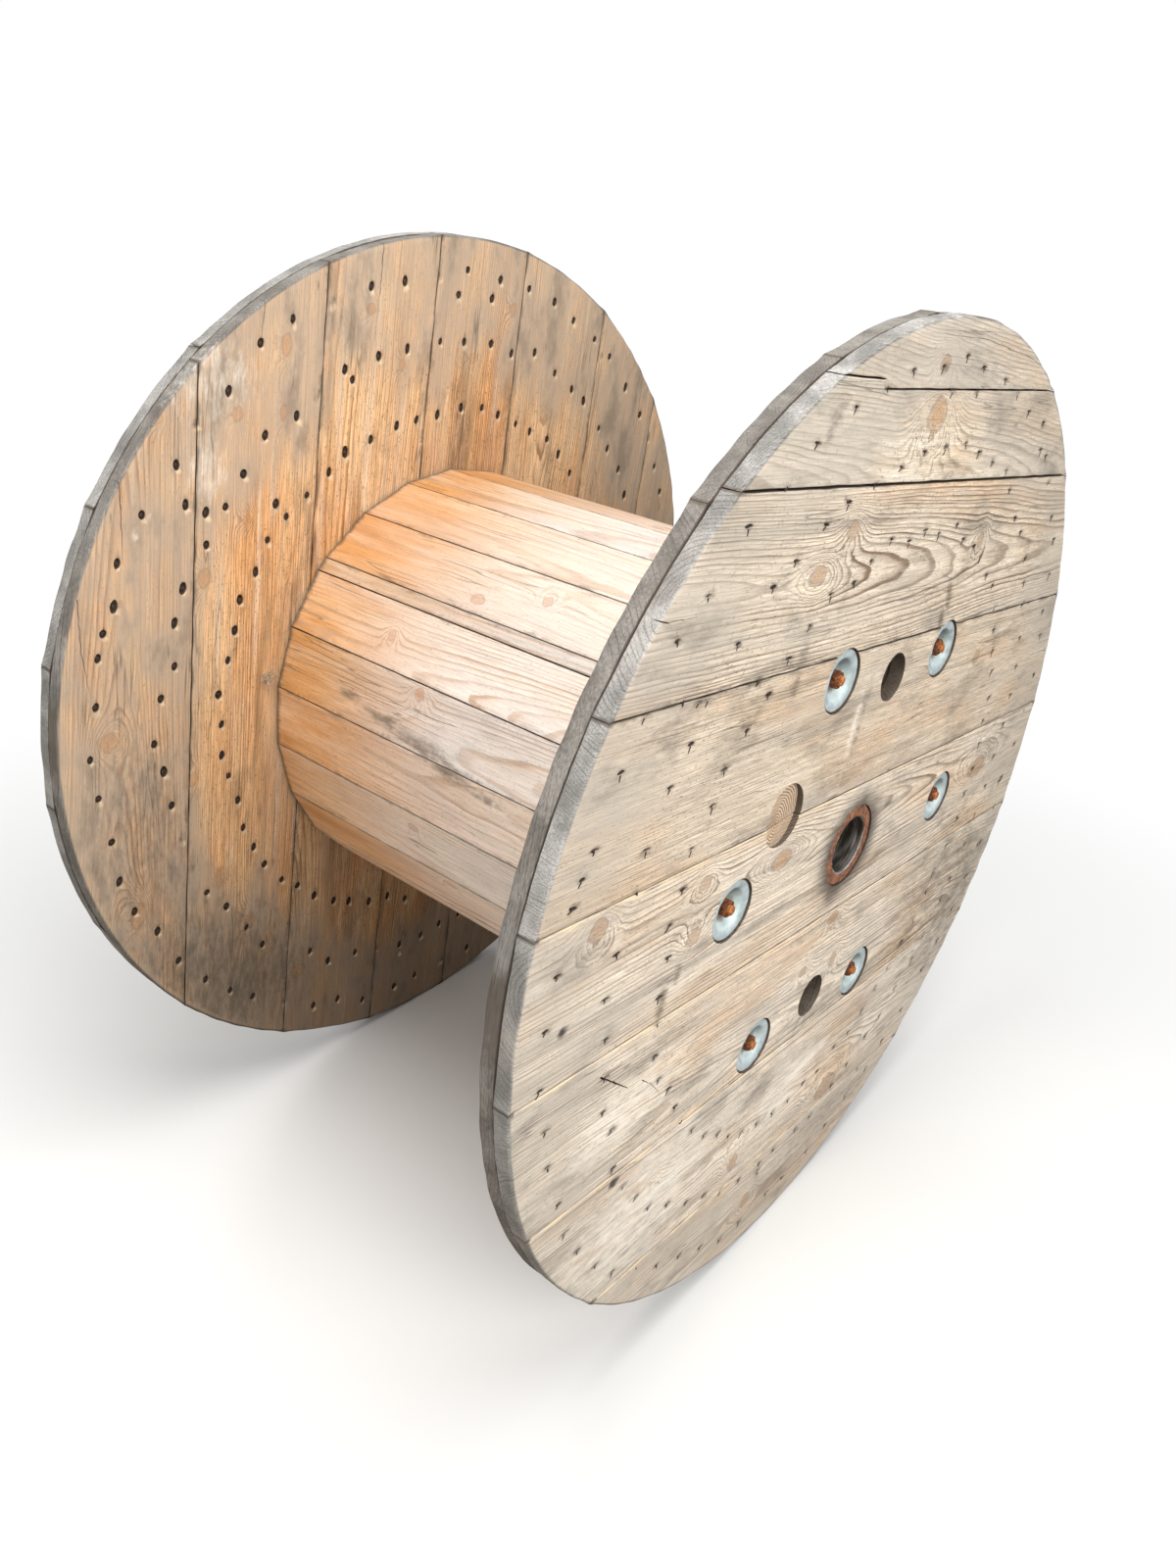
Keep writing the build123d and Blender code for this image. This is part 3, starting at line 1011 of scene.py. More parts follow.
@dataclass
class Plank:
    """A worn plank, made as a closed mesh round its CAD outline."""

    name: str
    board: Board
    outline: Array
    seed: int
    wear: Wear = field(default_factory=Wear)
    pits: list[Pit] = field(default_factory=list)
    bevel: float = 0.0
    along_step: float = 11 * MM
    across_step: float = 6 * MM

    def build(self) -> bpy.types.Object:
        """Builds the plank.

        Returns:
            The plank's object, at the origin of the row frame.
        """
        points, is_end = self.sampled()
        normals = self.inward_normals(points)
        wear = self.wear
        chips = Ripple(self.seed + 1, 1.0, 90 * MM, 90 * MM).at(points[:, 0], points[:, 1])
        opening = self.openings(points)
        room = self.room_for_inset(points)
        offset = np.where(is_end, wear.trim + wear.fray * chips, 0.35 * chips + opening) * MM
        offset = np.minimum(offset, 0.3 * room)
        edge = points + normals * offset[:, None]
        rounding = np.where(is_end, wear.end_round, wear.joint_round) * MM * (0.7 + 0.6 * chips)
        rounding = np.minimum(rounding, 0.7 * room)

        face = edge + normals * rounding[:, None]
        flat, triangles, depths = self.face_mesh(face)
        base = self.face_depth(edge[:, 0], edge[:, 1])
        thickness = self.board.thickness
        rings = [
            (0.62 * rounding, base + 0.10 * rounding),
            (0.29 * rounding, base + 0.30 * rounding),
            (0.05 * rounding, base + 0.68 * rounding),
            (0.0 * rounding, base + 1.15 * rounding),
        ]
        saw_marks = Ripple(self.seed + 2, 0.5 * MM, 23 * MM, 23 * MM)
        for share in (0.4, 0.7, 0.93):
            level = np.full(len(points), share * thickness)
            rings.append((np.where(is_end, saw_marks.at(points[:, 0] + level, points[:, 1]), 0.0), level))
        back_inset = np.minimum(np.where(is_end, 1.9, 0.6) * MM, 0.3 * room)
        rings.append((back_inset, np.full(len(points), thickness)))

        places = [np.column_stack([flat, depths])]
        for inset, level in rings:
            ring = edge + normals * (inset + np.where(is_end, 0, self.bevel * level))[:, None]
            places.append(np.column_stack([ring, level]))
        vertices = self.board.to_row(*np.concatenate(places).T)
        count = len(points)
        starts = [0] + [len(flat) + k * count for k in range(len(rings))]
        faces = [tuple(t) for t in triangles] + between_rings(starts, count)
        back_inset = back_inset + np.where(is_end, 0, self.bevel * thickness)
        back = [Vector(point) for point in edge + normals * back_inset[:, None]]
        closing = delaunay_2d_cdt(back, [(i, (i + 1) % count) for i in range(count)], [], 1, 1e-9)
        last = starts[-1]
        for triangle in closing[2]:
            faces.append(tuple(last + closing[3][i][0] for i in triangle))
        return closed_mesh(self.name, vertices, faces)

    def sampled(self) -> tuple[Array, Array]:
        """The outline with points every few millimetres.

        Returns:
            The points, and whether each lies on an end of the plank.
        """
        points: list[Array] = []
        is_end: list[bool] = []
        for first, second in zip(self.outline, np.roll(self.outline, -1, axis=0)):
            step = second - first
            length = float(np.hypot(*step))
            middle = (first + second) / 2
            on_rim = np.hypot(*middle) > FLANGE_RADIUS - 1 * MM and self.bevel == 0
            end = on_rim or abs(step[1]) > abs(step[0])
            parts = max(1, round(length / ((4 if end else 6) * MM)))
            for k in range(parts):
                point = first + step * k / parts
                if on_rim:
                    point = point * FLANGE_RADIUS / np.hypot(*point)
                points.append(point)
                is_end.append(end)
        return np.array(points), np.array(is_end)

    def inward_normals(self, points: Array) -> Array:
        """Directions into the outline at its points, longer at corners so that edges stay parallel.

        Args:
            points: The outline, anticlockwise.

        Returns:
            One direction for each point.
        """
        steps = np.roll(points, -1, axis=0) - points
        steps /= np.hypot(steps[:, 0], steps[:, 1])[:, None]
        ahead = np.stack([-steps[:, 1], steps[:, 0]], 1)
        behind = np.roll(ahead, 1, axis=0)
        mean = ahead + behind
        mean /= np.hypot(mean[:, 0], mean[:, 1])[:, None]
        cosine = np.clip((mean * ahead).sum(1), 0.35, 1)
        return mean / cosine[:, None]

    def room_for_inset(self, points: Array) -> Array:
        """How far the outline can be set in at each point before its neighbours cross.

        Args:
            points: The outline.

        Returns:
            The distances, small at corners.
        """
        steps = np.roll(points, -1, axis=0) - points
        lengths = np.hypot(steps[:, 0], steps[:, 1])
        heading = steps / lengths[:, None]
        turn = (heading * np.roll(heading, 1, axis=0)).sum(1)
        far = np.where(turn < 0.92, 0.0, 1.0)
        for _ in range(2):
            for ahead in range(len(points) * 2):
                i = ahead % len(points)
                far[i] = min(far[i], far[i - 1] + lengths[i - 1])
            far, lengths = far[::-1].copy(), np.roll(lengths[::-1], -1).copy()
        return 0.5 * MM + 0.22 * far

    def openings(self, points: Array) -> Array:
        """The gap at the lower or upper joint, in millimetres, at each point of the outline."""
        is_low = points[:, 1] < points[:, 1].mean()
        return np.where(is_low, self.wear.open_low, self.wear.open_high)

    def face_depth(self, a: Array, c: Array) -> Array:
        """How far the worn face lies under the sawn one.

        Args:
            a: Places along the grain.
            c: Places across it.

        Returns:
            The depths in metres.
        """
        low, high = self.outline[:, 1].min(), self.outline[:, 1].max()
        lean = self.wear.tilt * (c - (low + high) / 2) / (high - low)
        ripple = Ripple(self.seed, self.wear.uneven, 260 * MM, 70 * MM)
        return np.maximum((self.wear.sink + lean) * MM + ripple.at(a, c) * MM, 0.05 * MM)

    def face_mesh(self, face: Array) -> tuple[Array, list[list[int]], Array]:
        """The exposed face inside its worn arrises, with its pits.

        Args:
            face: The outline of the face, inside the rounded arrises.

        Returns:
            The points, the triangles and the depths. The outline's points come first, in order.
        """
        rng = np.random.default_rng(self.seed + 3)
        count = len(face)
        loops = [(i, (i + 1) % count) for i in range(count)]
        flat = [face]
        extra_depth = [np.zeros(count)]
        keep = self.grid(face, rng)
        at = count
        for pit in self.pits:
            keep = keep[np.hypot(keep[:, 0] - pit.a, keep[:, 1] - pit.c) > pit.half_long + 2.5 * MM]
            for scale, share, sides in ((1.0, 0.0, 12), (0.84, 0.75, 12), (0.5, 1.0, 6)):
                ring = self.pit_ring(pit, scale, sides, rng if scale == 1 else None)
                flat.append(ring)
                extra_depth.append(np.full(sides, share * pit.depth))
                loops += [(at + i, at + (i + 1) % sides) for i in range(sides)]
                at += sides
        flat.append(keep)
        extra_depth.append(np.zeros(len(keep)))
        points = np.concatenate(flat)
        depth = np.concatenate(extra_depth)
        placed = [Vector(p) for p in points]
        corners, _, triangles, origins, _, _ = delaunay_2d_cdt(placed, loops, [], 1, 1e-9)
        if [o[0] for o in origins[:count]] != list(range(count)):
            raise ValueError(f"{self.name}: the face's outline crosses itself")
        flat_points = np.array([tuple(p) for p in corners])
        depths = self.face_depth(flat_points[:, 0], flat_points[:, 1])
        depths += np.array([depth[o[0]] if o else 0.0 for o in origins])
        return flat_points, triangles, depths

    def pit_ring(self, pit: Pit, scale: float, sides: int, rng: np.random.Generator | None) -> Array:
        """One ring of points round a pit.

        Args:
            pit: The pit.
            scale: The ring's size as a share of the pit's.
            sides: How many points it has.
            rng: What makes its edge uneven, if anything does.

        Returns:
            The points.
        """
        angles = np.linspace(0, 2 * math.pi, sides, endpoint=False)
        ragged = scale * (1 if rng is None else rng.uniform(0.92, 1.1, sides))
        x = pit.half_long * np.cos(angles) * ragged
        y = pit.half_wide * np.sin(angles) * ragged
        cosine, sine = math.cos(pit.turn), math.sin(pit.turn)
        return np.stack([pit.a + x * cosine - y * sine, pit.c + x * sine + y * cosine], 1)

    def grid(self, face: Array, rng: np.random.Generator) -> Array:
        """Points spread over the face, clear of its outline.

        Args:
            face: The outline.
            rng: What spreads them unevenly.

        Returns:
            The points.
        """
        low, high = face.min(0), face.max(0)
        a = np.arange(low[0], high[0], self.along_step)
        c = np.arange(low[1] + 3 * MM, high[1] - 2 * MM, self.across_step)
        grid = np.stack(np.meshgrid(a, c), -1)
        grid[1::2, :, 0] += self.along_step / 2
        points = grid.reshape(-1, 2)
        points += rng.uniform(-0.22, 0.22, points.shape) * (self.along_step, self.across_step)
        inside = np.zeros(len(points), bool)
        nearest = np.full(len(points), 1e9)
        for first, second in zip(face, np.roll(face, -1, axis=0)):
            crosses = (first[1] > points[:, 1]) != (second[1] > points[:, 1])
            rise = second[1] - first[1] or 1e-12
            meets = first[0] + (points[:, 1] - first[1]) * (second[0] - first[0]) / rise
            inside ^= crosses & (points[:, 0] < meets)
            nearest = np.minimum(nearest, np.hypot(points[:, 0] - first[0], points[:, 1] - first[1]))
        return points[inside & (nearest > 3.2 * MM)]


def added(name: str, data: bpy.types.ID) -> bpy.types.Object:
    """A new object of the scene.

    Args:
        name: Its name.
        data: Its mesh, camera or light.

    Returns:
        The object.
    """
    thing = bpy.data.objects.new(name, data)
    bpy.context.scene.collection.objects.link(thing)
    return thing


def smoothed(mesh: bpy.types.Mesh, sharp: float = 38.0) -> None:
    """Shades a mesh smooth, but for the edges sharper than an angle in degrees."""
    mesh.polygons.foreach_set("use_smooth", [True] * len(mesh.polygons))
    mesh.set_sharp_from_angle(angle=math.radians(sharp))


def closed_mesh(name: str, vertices: Array, faces: Faces, sharp: float = 38.0) -> bpy.types.Object:
    """A new object with a closed, smooth-shaded mesh.

    Args:
        name: Its name.
        vertices: Its points in the row frame.
        faces: Its faces.
        sharp: The angle in degrees past which an edge stays sharp.

    Returns:
        The object.
    """
    mesh = bpy.data.meshes.new(name)
    mesh.from_pydata([tuple(v) for v in vertices], [], [list(f) for f in faces])
    outward = bmesh.new()
    outward.from_mesh(mesh)
    bmesh.ops.recalc_face_normals(outward, faces=outward.faces)
    outward.to_mesh(mesh)
    outward.free()
    smoothed(mesh, sharp)
    return added(name, mesh)


def between_rings(starts: Sequence[int], sides: int) -> Faces:
    """The faces between rings of points that follow one another.

    Args:
        starts: The number of the first point of each ring.
        sides: How many points go round a ring.

    Returns:
        The faces, ring by ring.
    """
    faces = []
    for above, below in zip(starts, starts[1:]):
        for i in range(sides):
            j = (i + 1) % sides
            faces.append((above + i, above + j, below + j, below + i))
    return faces


def gathered(bodies: Iterable[Body]) -> Body:
    """Several bodies as one.

    Args:
        bodies: The points and faces of each.

    Returns:
        All points and all faces.
    """
    all_points, all_faces, start = [], [], 0
    for points, faces in bodies:
        all_points.append(points)
        all_faces += [tuple(start + i for i in face) for face in faces]
        start += len(points)
    return np.concatenate(all_points), all_faces


def turned(
    profile: Sequence[tuple[float, float]],
    sides: int,
    wobble: Callable[[Array, float], Array] | None = None,
    flat_ends: bool = False,
) -> Body:
    """A closed turned body about the depth axis.

    Args:
        profile: Radius and depth of each point of its section, in metres.
        sides: How many points go round it.
        wobble: What is added to the radius at each angle and depth, if anything is.
        flat_ends: Whether the section is open, and flat ends close the body.

    Returns:
        Points as along, across and depth, and faces.
    """
    angles = np.linspace(0, 2 * math.pi, sides, endpoint=False)
    rings = []
    for radius, depth in profile:
        r = np.full(sides, radius)
        if wobble is not None:
            r = r + wobble(angles, depth)
        rings.append(np.stack([r * np.cos(angles), r * np.sin(angles), np.full(sides, depth)], 1))
    starts = [k * sides for k in range(len(profile))]
    if not flat_ends:
        return np.concatenate(rings), between_rings([*starts, 0], sides)
    ends = [tuple(range(sides)), tuple(range(starts[-1], starts[-1] + sides))[::-1]]
    return np.concatenate(rings), between_rings(starts, sides) + ends


def cut(piece: bpy.types.Object, cutter: bpy.types.Object) -> None:
    """Cuts a closed cutter out of a closed piece, for good.

    Args:
        piece: What is cut.
        cutter: What is taken away.
    """
    modifier = piece.modifiers.new("cut", "BOOLEAN")
    modifier.operation = "DIFFERENCE"
    modifier.solver = "MANIFOLD"
    modifier.object = cutter
    bpy.context.view_layer.update()
    evaluated = piece.evaluated_get(bpy.context.evaluated_depsgraph_get())
    mesh = bpy.data.meshes.new_from_object(evaluated)
    piece.modifiers.clear()
    piece.data = mesh
    smoothed(mesh)


@dataclass
class FlangeCutters:
    """Everything that was bored into one flange, as closed cutters."""

    side: Side
    sides: int = 96

    def outer(self) -> bpy.types.Object:
        """The cutters of the outer ply.

        Returns:
            The cutters as one object.
        """
        board = flange_board(self.side, Ply.OUTER)
        cutters = [board.placed(self.counterbore(), *self.rod_place(k)) for k in range(ROD_COUNT)]
        cutters.append(board.placed(self.bush_seat(), 0.0, 0.0))
        for across in (DRIVE_HOLE_PLACE, -DRIVE_HOLE_PLACE):
            cutters.append(board.placed(self.straight(DRIVE_HOLE_RADIUS), 0.0, across))
        if self.side is Side.FRONT:
            cutters.append(board.placed(self.recess(), *RECESS_PLACE))
        return closed_mesh("cutters", *gathered(cutters))

    def inner(self) -> bpy.types.Object:
        """The cutters of the inner ply.

        Returns:
            The cutters as one object.
        """
        board = flange_board(self.side, Ply.INNER)
        cutters = [board.placed(self.straight(BUSH_HOLE_RADIUS), 0.0, 0.0)]
        for along in (DRIVE_HOLE_PLACE, -DRIVE_HOLE_PLACE):
            cutters.append(board.placed(self.straight(DRIVE_HOLE_RADIUS), along, 0.0))
        return closed_mesh("cutters", *gathered(cutters))

    @staticmethod
    def rod_place(number: int) -> tuple[float, float]:
        """The place of a tie rod, along and across the outer planks."""
        angle = 2 * math.pi * number / ROD_COUNT
        return ROD_CIRCLE_RADIUS * math.cos(angle), ROD_CIRCLE_RADIUS * math.sin(angle)

    def solid(self, profile: Sequence[tuple[float, float]], torn: float) -> Body:
        """A round cutter with a slightly torn edge.

        Args:
            profile: Radius and depth of its steps, from above the face downwards.
            torn: How uneven its radius is.

        Returns:
            Its points and faces.
        """
        rough = Ripple(len(profile), torn, 0.9, 0.9)

        def tear(angles: Array, depth: float) -> Array:
            """How far the cutter falls short at each angle."""
            return -rough.at(np.cos(angles), np.sin(angles))

        return turned(profile, self.sides, tear, flat_ends=True)

    def counterbore(self) -> Body:
        """A counterbore with the pocket for a washer's dish and the rod's hole.

        Returns:
            Its cutter.
        """
        return self.solid(
            [
                (COUNTERBORE_RADIUS, -10 * MM),
                (COUNTERBORE_RADIUS, COUNTERBORE_DEPTH),
                (POCKET_RADIUS, COUNTERBORE_DEPTH),
                (POCKET_RADIUS, POCKET_DEPTH),
                (ROD_RADIUS + 1 * MM, POCKET_DEPTH),
                (ROD_RADIUS + 1 * MM, 40 * MM),
            ],
            0.3 * MM,
        )

    def bush_seat(self) -> Body:
        """The seat of the bush's lip, and the hole for its barrel.

        Returns:
            Its cutter.
        """
        return self.solid(
            [
                (BUSH_SEAT_RADIUS, -10 * MM),
                (BUSH_SEAT_RADIUS, BUSH_SEAT_DEPTH),
                (BUSH_HOLE_RADIUS, BUSH_SEAT_DEPTH),
                (BUSH_HOLE_RADIUS, 40 * MM),
            ],
            0.2 * MM,
        )

    def straight(self, radius: float) -> Body:
        """A hole right through the ply."""
        return self.solid([(radius, -10 * MM), (radius, 40 * MM)], 0.5 * MM)

    def recess(self) -> Body:
        """A shallow round recess, deeper towards the right.

        Returns:
            Its cutter.
        """
        points, faces = self.solid([(COUNTERBORE_RADIUS, -10 * MM), (COUNTERBORE_RADIUS, 0.0)], 0.4 * MM)
        floor = points[:, 2] >= 0
        slope = (points[:, 0] / COUNTERBORE_RADIUS + 1) / 2
        points[floor, 2] = (slope * (RECESS_DEPTH + 3.4 * MM) + 1.1 * MM)[floor]
        return points, faces


@dataclass(frozen=True)
class Split:
    """A crack in a plank's face, as a path of places in the row frame. Lengths are in millimetres."""

    path: tuple[tuple[float, float], ...]
    width: float = 1.6
    depth: float = 7.0
    seed: int = 0

    def middle(self, board: Board) -> float:
        """How far across the planks the middle of the crack lies."""
        points = np.array([(x * MM, 0.0, z * MM) for x, z in self.path])
        return float(board.from_row(points)[1].mean())

    def cutter(self, board: Board) -> bpy.types.Object:
        """The wedge that opens the crack.

        Args:
            board: Where the planks lie.

        Returns:
            The wedge.
        """
        rng = np.random.default_rng(self.seed + 9)
        stations = []
        for (x0, z0), (x1, z1) in zip(self.path, self.path[1:]):
            parts = max(2, round(math.hypot(x1 - x0, z1 - z0) / 5))
            for k in range(parts):
                stations.append((x0 + (x1 - x0) * k / parts, z0 + (z1 - z0) * k / parts))
        stations.append(self.path[-1])
        line = np.array(stations)
        line[1:-1] += rng.uniform(-0.7, 0.7, (len(line) - 2, 2))
        heading = np.gradient(line, axis=0)
        heading /= np.hypot(heading[:, 0], heading[:, 1])[:, None]
        sideways = np.stack([-heading[:, 1], heading[:, 0]], 1)
        share = np.linspace(0, 1, len(line))
        half = self.width / 2 * (1.04 - share) ** 0.6 * rng.uniform(0.75, 1.15, len(line))
        rows = []
        for wide, depth in ((1.3, -2.0), (0.2, self.depth), (-0.2, self.depth), (-1.3, -2.0)):
            flat = line + sideways * (wide * half)[:, None]
            place = np.stack([flat[:, 0], np.zeros(len(flat)), flat[:, 1]], 1) * MM
            a, c, _ = board.from_row(place)
            rows.append(board.to_row(a, c, np.full(len(a), depth * MM)))
        count = len(line)
        faces = [(0, count, 2 * count, 3 * count)]
        faces.append((count - 1, 2 * count - 1, 3 * count - 1, 4 * count - 1))
        for k in range(4):
            for i in range(count - 1):
                j = (k + 1) % 4
                faces.append((k * count + i, k * count + i + 1, j * count + i + 1, j * count + i))
        return closed_mesh("split", np.concatenate(rows), faces)


@dataclass(frozen=True)
class Nail:
    """A nail through both plies, by its place in the frame of the outer planks."""

    u: float
    v: float
    turn: float


@dataclass
class NailRings:
    """The nails of one flange, in three rings with a few strays."""

    side: Side
    circles: tuple[float, ...] = (446 * MM, 549 * MM, 648 * MM)
    per_circle: int = 60
    first_angle: float = math.radians(92.3)
    drift: float = 5 * MM
    nail_radius: float = 2.0 * MM
    strays: tuple[tuple[float, float], ...] = (
        (25, 615), (100, 608), (-200, 520), (-475, 365), (-445, 350), (-330, 345), (-612, 215), (590, -240),
        (388, 505), (-92, -560), (240, -560),
    )

    def nails(self) -> list[Nail]:
        """All nails of the flange.

        Returns:
            The nails, ring by ring.
        """
        rng = np.random.default_rng(40 + self.side.value)
        found = []
        for circle in self.circles:
            for number in range(self.per_circle):
                angle = self.first_angle + 2 * math.pi * number / self.per_circle + rng.normal(0, 0.008)
                radius = circle + rng.normal(0, 1) * self.drift
                turn = rng.normal(0, 0.35)
                found.append(Nail(radius * math.cos(angle), radius * math.sin(angle), turn))
        board = flange_board(self.side, Ply.OUTER)
        for x, z in self.strays:
            u, v, _ = board.from_row(np.array([[x * MM, 0.0, z * MM]]))
            found.append(Nail(float(u[0]), float(v[0]), rng.normal(0, 0.4)))
        return found

    def head_pits(self) -> list[Pit]:
        """The holes that the heads were driven into, on the inner ply's exposed face.

        Returns:
            The holes.
        """
        rng = np.random.default_rng(60 + self.side.value)
        pits = []
        for nail in self.nails():
            size = rng.uniform(4.8, 6.3) * MM
            long = size * rng.uniform(1.05, 1.6)
            pits.append(Pit(nail.v, nail.u, long, size, rng.uniform(4.5, 6.0) * MM, rng.normal(0, 0.1)))
        return pits

    def tip_pits(self) -> list[Pit]:
        """The torn slots that the clinched tips lie in, on the outer ply's face.

        Returns:
            The slots.
        """
        rng = np.random.default_rng(80 + self.side.value)
        pits = []
        for nail in self.nails():
            long = rng.uniform(4.5, 8.0) * MM
            pits.append(Pit(nail.u, nail.v, long, rng.uniform(1.8, 2.8) * MM, 3.4 * MM, nail.turn * 0.3))
        return pits

    def heads(self) -> bpy.types.Object:
        """The heads at the bottom of their holes, as one mesh.

        Returns:
            The object.
        """
        board = flange_board(self.side, Ply.INNER)
        profile = [(0.6 * MM, 2.3 * MM), (2.2 * MM, 2.5 * MM), (3.0 * MM, 3.0 * MM), (3.0 * MM, 4.6 * MM)]
        head = turned(profile, 8, flat_ends=True)
        heads = gathered(board.placed(head, nail.v, nail.u) for nail in self.nails())
        return closed_mesh(f"{self.side.name.lower()}_nail_heads", *heads)

    def tips(self, surface: Callable[[float, float], float]) -> bpy.types.Object:
        """The bent-over tips, as one mesh.

        Args:
            surface: The depth of the planks' face at a place.

        Returns:
            The object.
        """
        board = flange_board(self.side, Ply.OUTER)
        rng = np.random.default_rng(90 + self.side.value)
        sides = 6
        vertices, faces, start = [], [], 0
        for nail in self.nails():
            outwards = -math.pi / 2 - 0.25 + nail.turn
            reach = rng.uniform(8, 15) * MM
            under = surface(nail.u, nail.v)
            line = [
                (0.0, 4.0 * MM, 1.0), (0.5 * MM, 2.0 * MM, 1.0), (0.2 * reach, 0.6 * MM, 1.0),
                (0.7 * reach, 0.7 * MM, 0.85), (reach, 1.6 * MM, 0.3),
            ]
            direction = np.array([math.cos(outwards), math.sin(outwards)])
            sideways = np.array([-direction[1], direction[0]])
            for far, depth, share in line:
                for k in range(sides):
                    angle = 2 * math.pi * k / sides
                    side_step = self.nail_radius * share * math.cos(angle)
                    lift = self.nail_radius * share * math.sin(angle)
                    steep = 1.0 if depth > 1.5 * MM and far < 1 * MM else 0.0
                    at = direction * (far + steep * lift) + sideways * side_step
                    level = under + depth - (1 - steep) * lift * 0.6
                    vertices.append((nail.u + at[0], nail.v + at[1], max(level, 0.1 * MM)))
            end = start + sides * len(line)
            faces += between_rings(range(start, end, sides), sides)
            faces += [tuple(range(start, start + sides)), tuple(range(end - sides, end))]
            start = end
        points = board.to_row(*np.array(vertices).T)
        return closed_mesh(f"{self.side.name.lower()}_nail_tips", points, faces)


def dressed(
    piece: bpy.types.Object, material: bpy.types.Material, stands_for: str | None = None
) -> None:
    """Gives a piece its finish and its place in the frame.

    Args:
        piece: The piece.
        material: Its finish.
        stands_for: The CAD node that it replaces, if any.
    """
    piece.data.materials.clear()
    piece.data.materials.append(material)
    if stands_for is not None:
        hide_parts(stands_for)
    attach(piece, ROOT)
    log.info("%s: %d faces", piece.name, len(piece.data.polygons))


def lay_marks(piece: bpy.types.Object, marks: dict[str, Array]) -> None:
    """Stores marks at a piece's points, for its finish to read.

    Args:
        piece: The piece.
        marks: The amount at each point, by the mark's name.
    """
    for name, values in marks.items():
        attribute = piece.data.attributes.new(name, "FLOAT", "POINT")
        attribute.data.foreach_set("value", values.astype(np.float32))


def points_of(piece: bpy.types.Object) -> Array:
    """The places of a piece's points in the row frame.

    Args:
        piece: The piece.

    Returns:
        The places, one row for each point.
    """
    points = np.zeros(len(piece.data.vertices) * 3)
    piece.data.vertices.foreach_get("co", points)
    return points.reshape(-1, 3)


OUTER_FINISH = TimberFinish(
    pale=paint(234, 219, 199),
    late=paint(144, 114, 87),
    warm=paint(226, 190, 152),
    grey=paint(190, 180, 168),
    aged=paint(184, 174, 160),
    aged_from=0.52,
    aged_by=0.6,
    warmth=0.65,
    greyness=0.55,
    contrast=0.95,
    dirt=0.7,
    smudged=0.52,
    brushed=0.88,
    knot_light=paint(196, 151, 101),
    knot_depth=0.68,
)
INNER_FINISH = TimberFinish(
    pale=paint(236, 198, 152),
    late=paint(166, 104, 60),
    warm=paint(234, 172, 110),
    grey=paint(208, 184, 156),
    aged=paint(178, 160, 140),
    aged_from=0.46,
    aged_by=0.92,
    warmth=0.7,
    greyness=0.4,
    contrast=0.95,
    dirt=0.78,
    smudged=0.62,
    low_dirt_and_shade=0.4,
    knot_depth=0.45,
)
BARREL_FINISH = TimberFinish(
    pale=paint(233, 219, 207),
    late=paint(214, 168, 126),
    warm=paint(242, 216, 186),
    grey=paint(220, 211, 204),
    aged=paint(230, 190, 150),
    aged_from=2.0,
    rear_tone=paint(203, 144, 82),
    warmth=0.4,
    greyness=0.25,
    contrast=0.62,
    dirt=0.12,
    relief=0.06 * MM,
    brushed=0.45,
    smudged=0.26,
    knot_dark=paint(136, 82, 50),
    knot_depth=0.62,
)


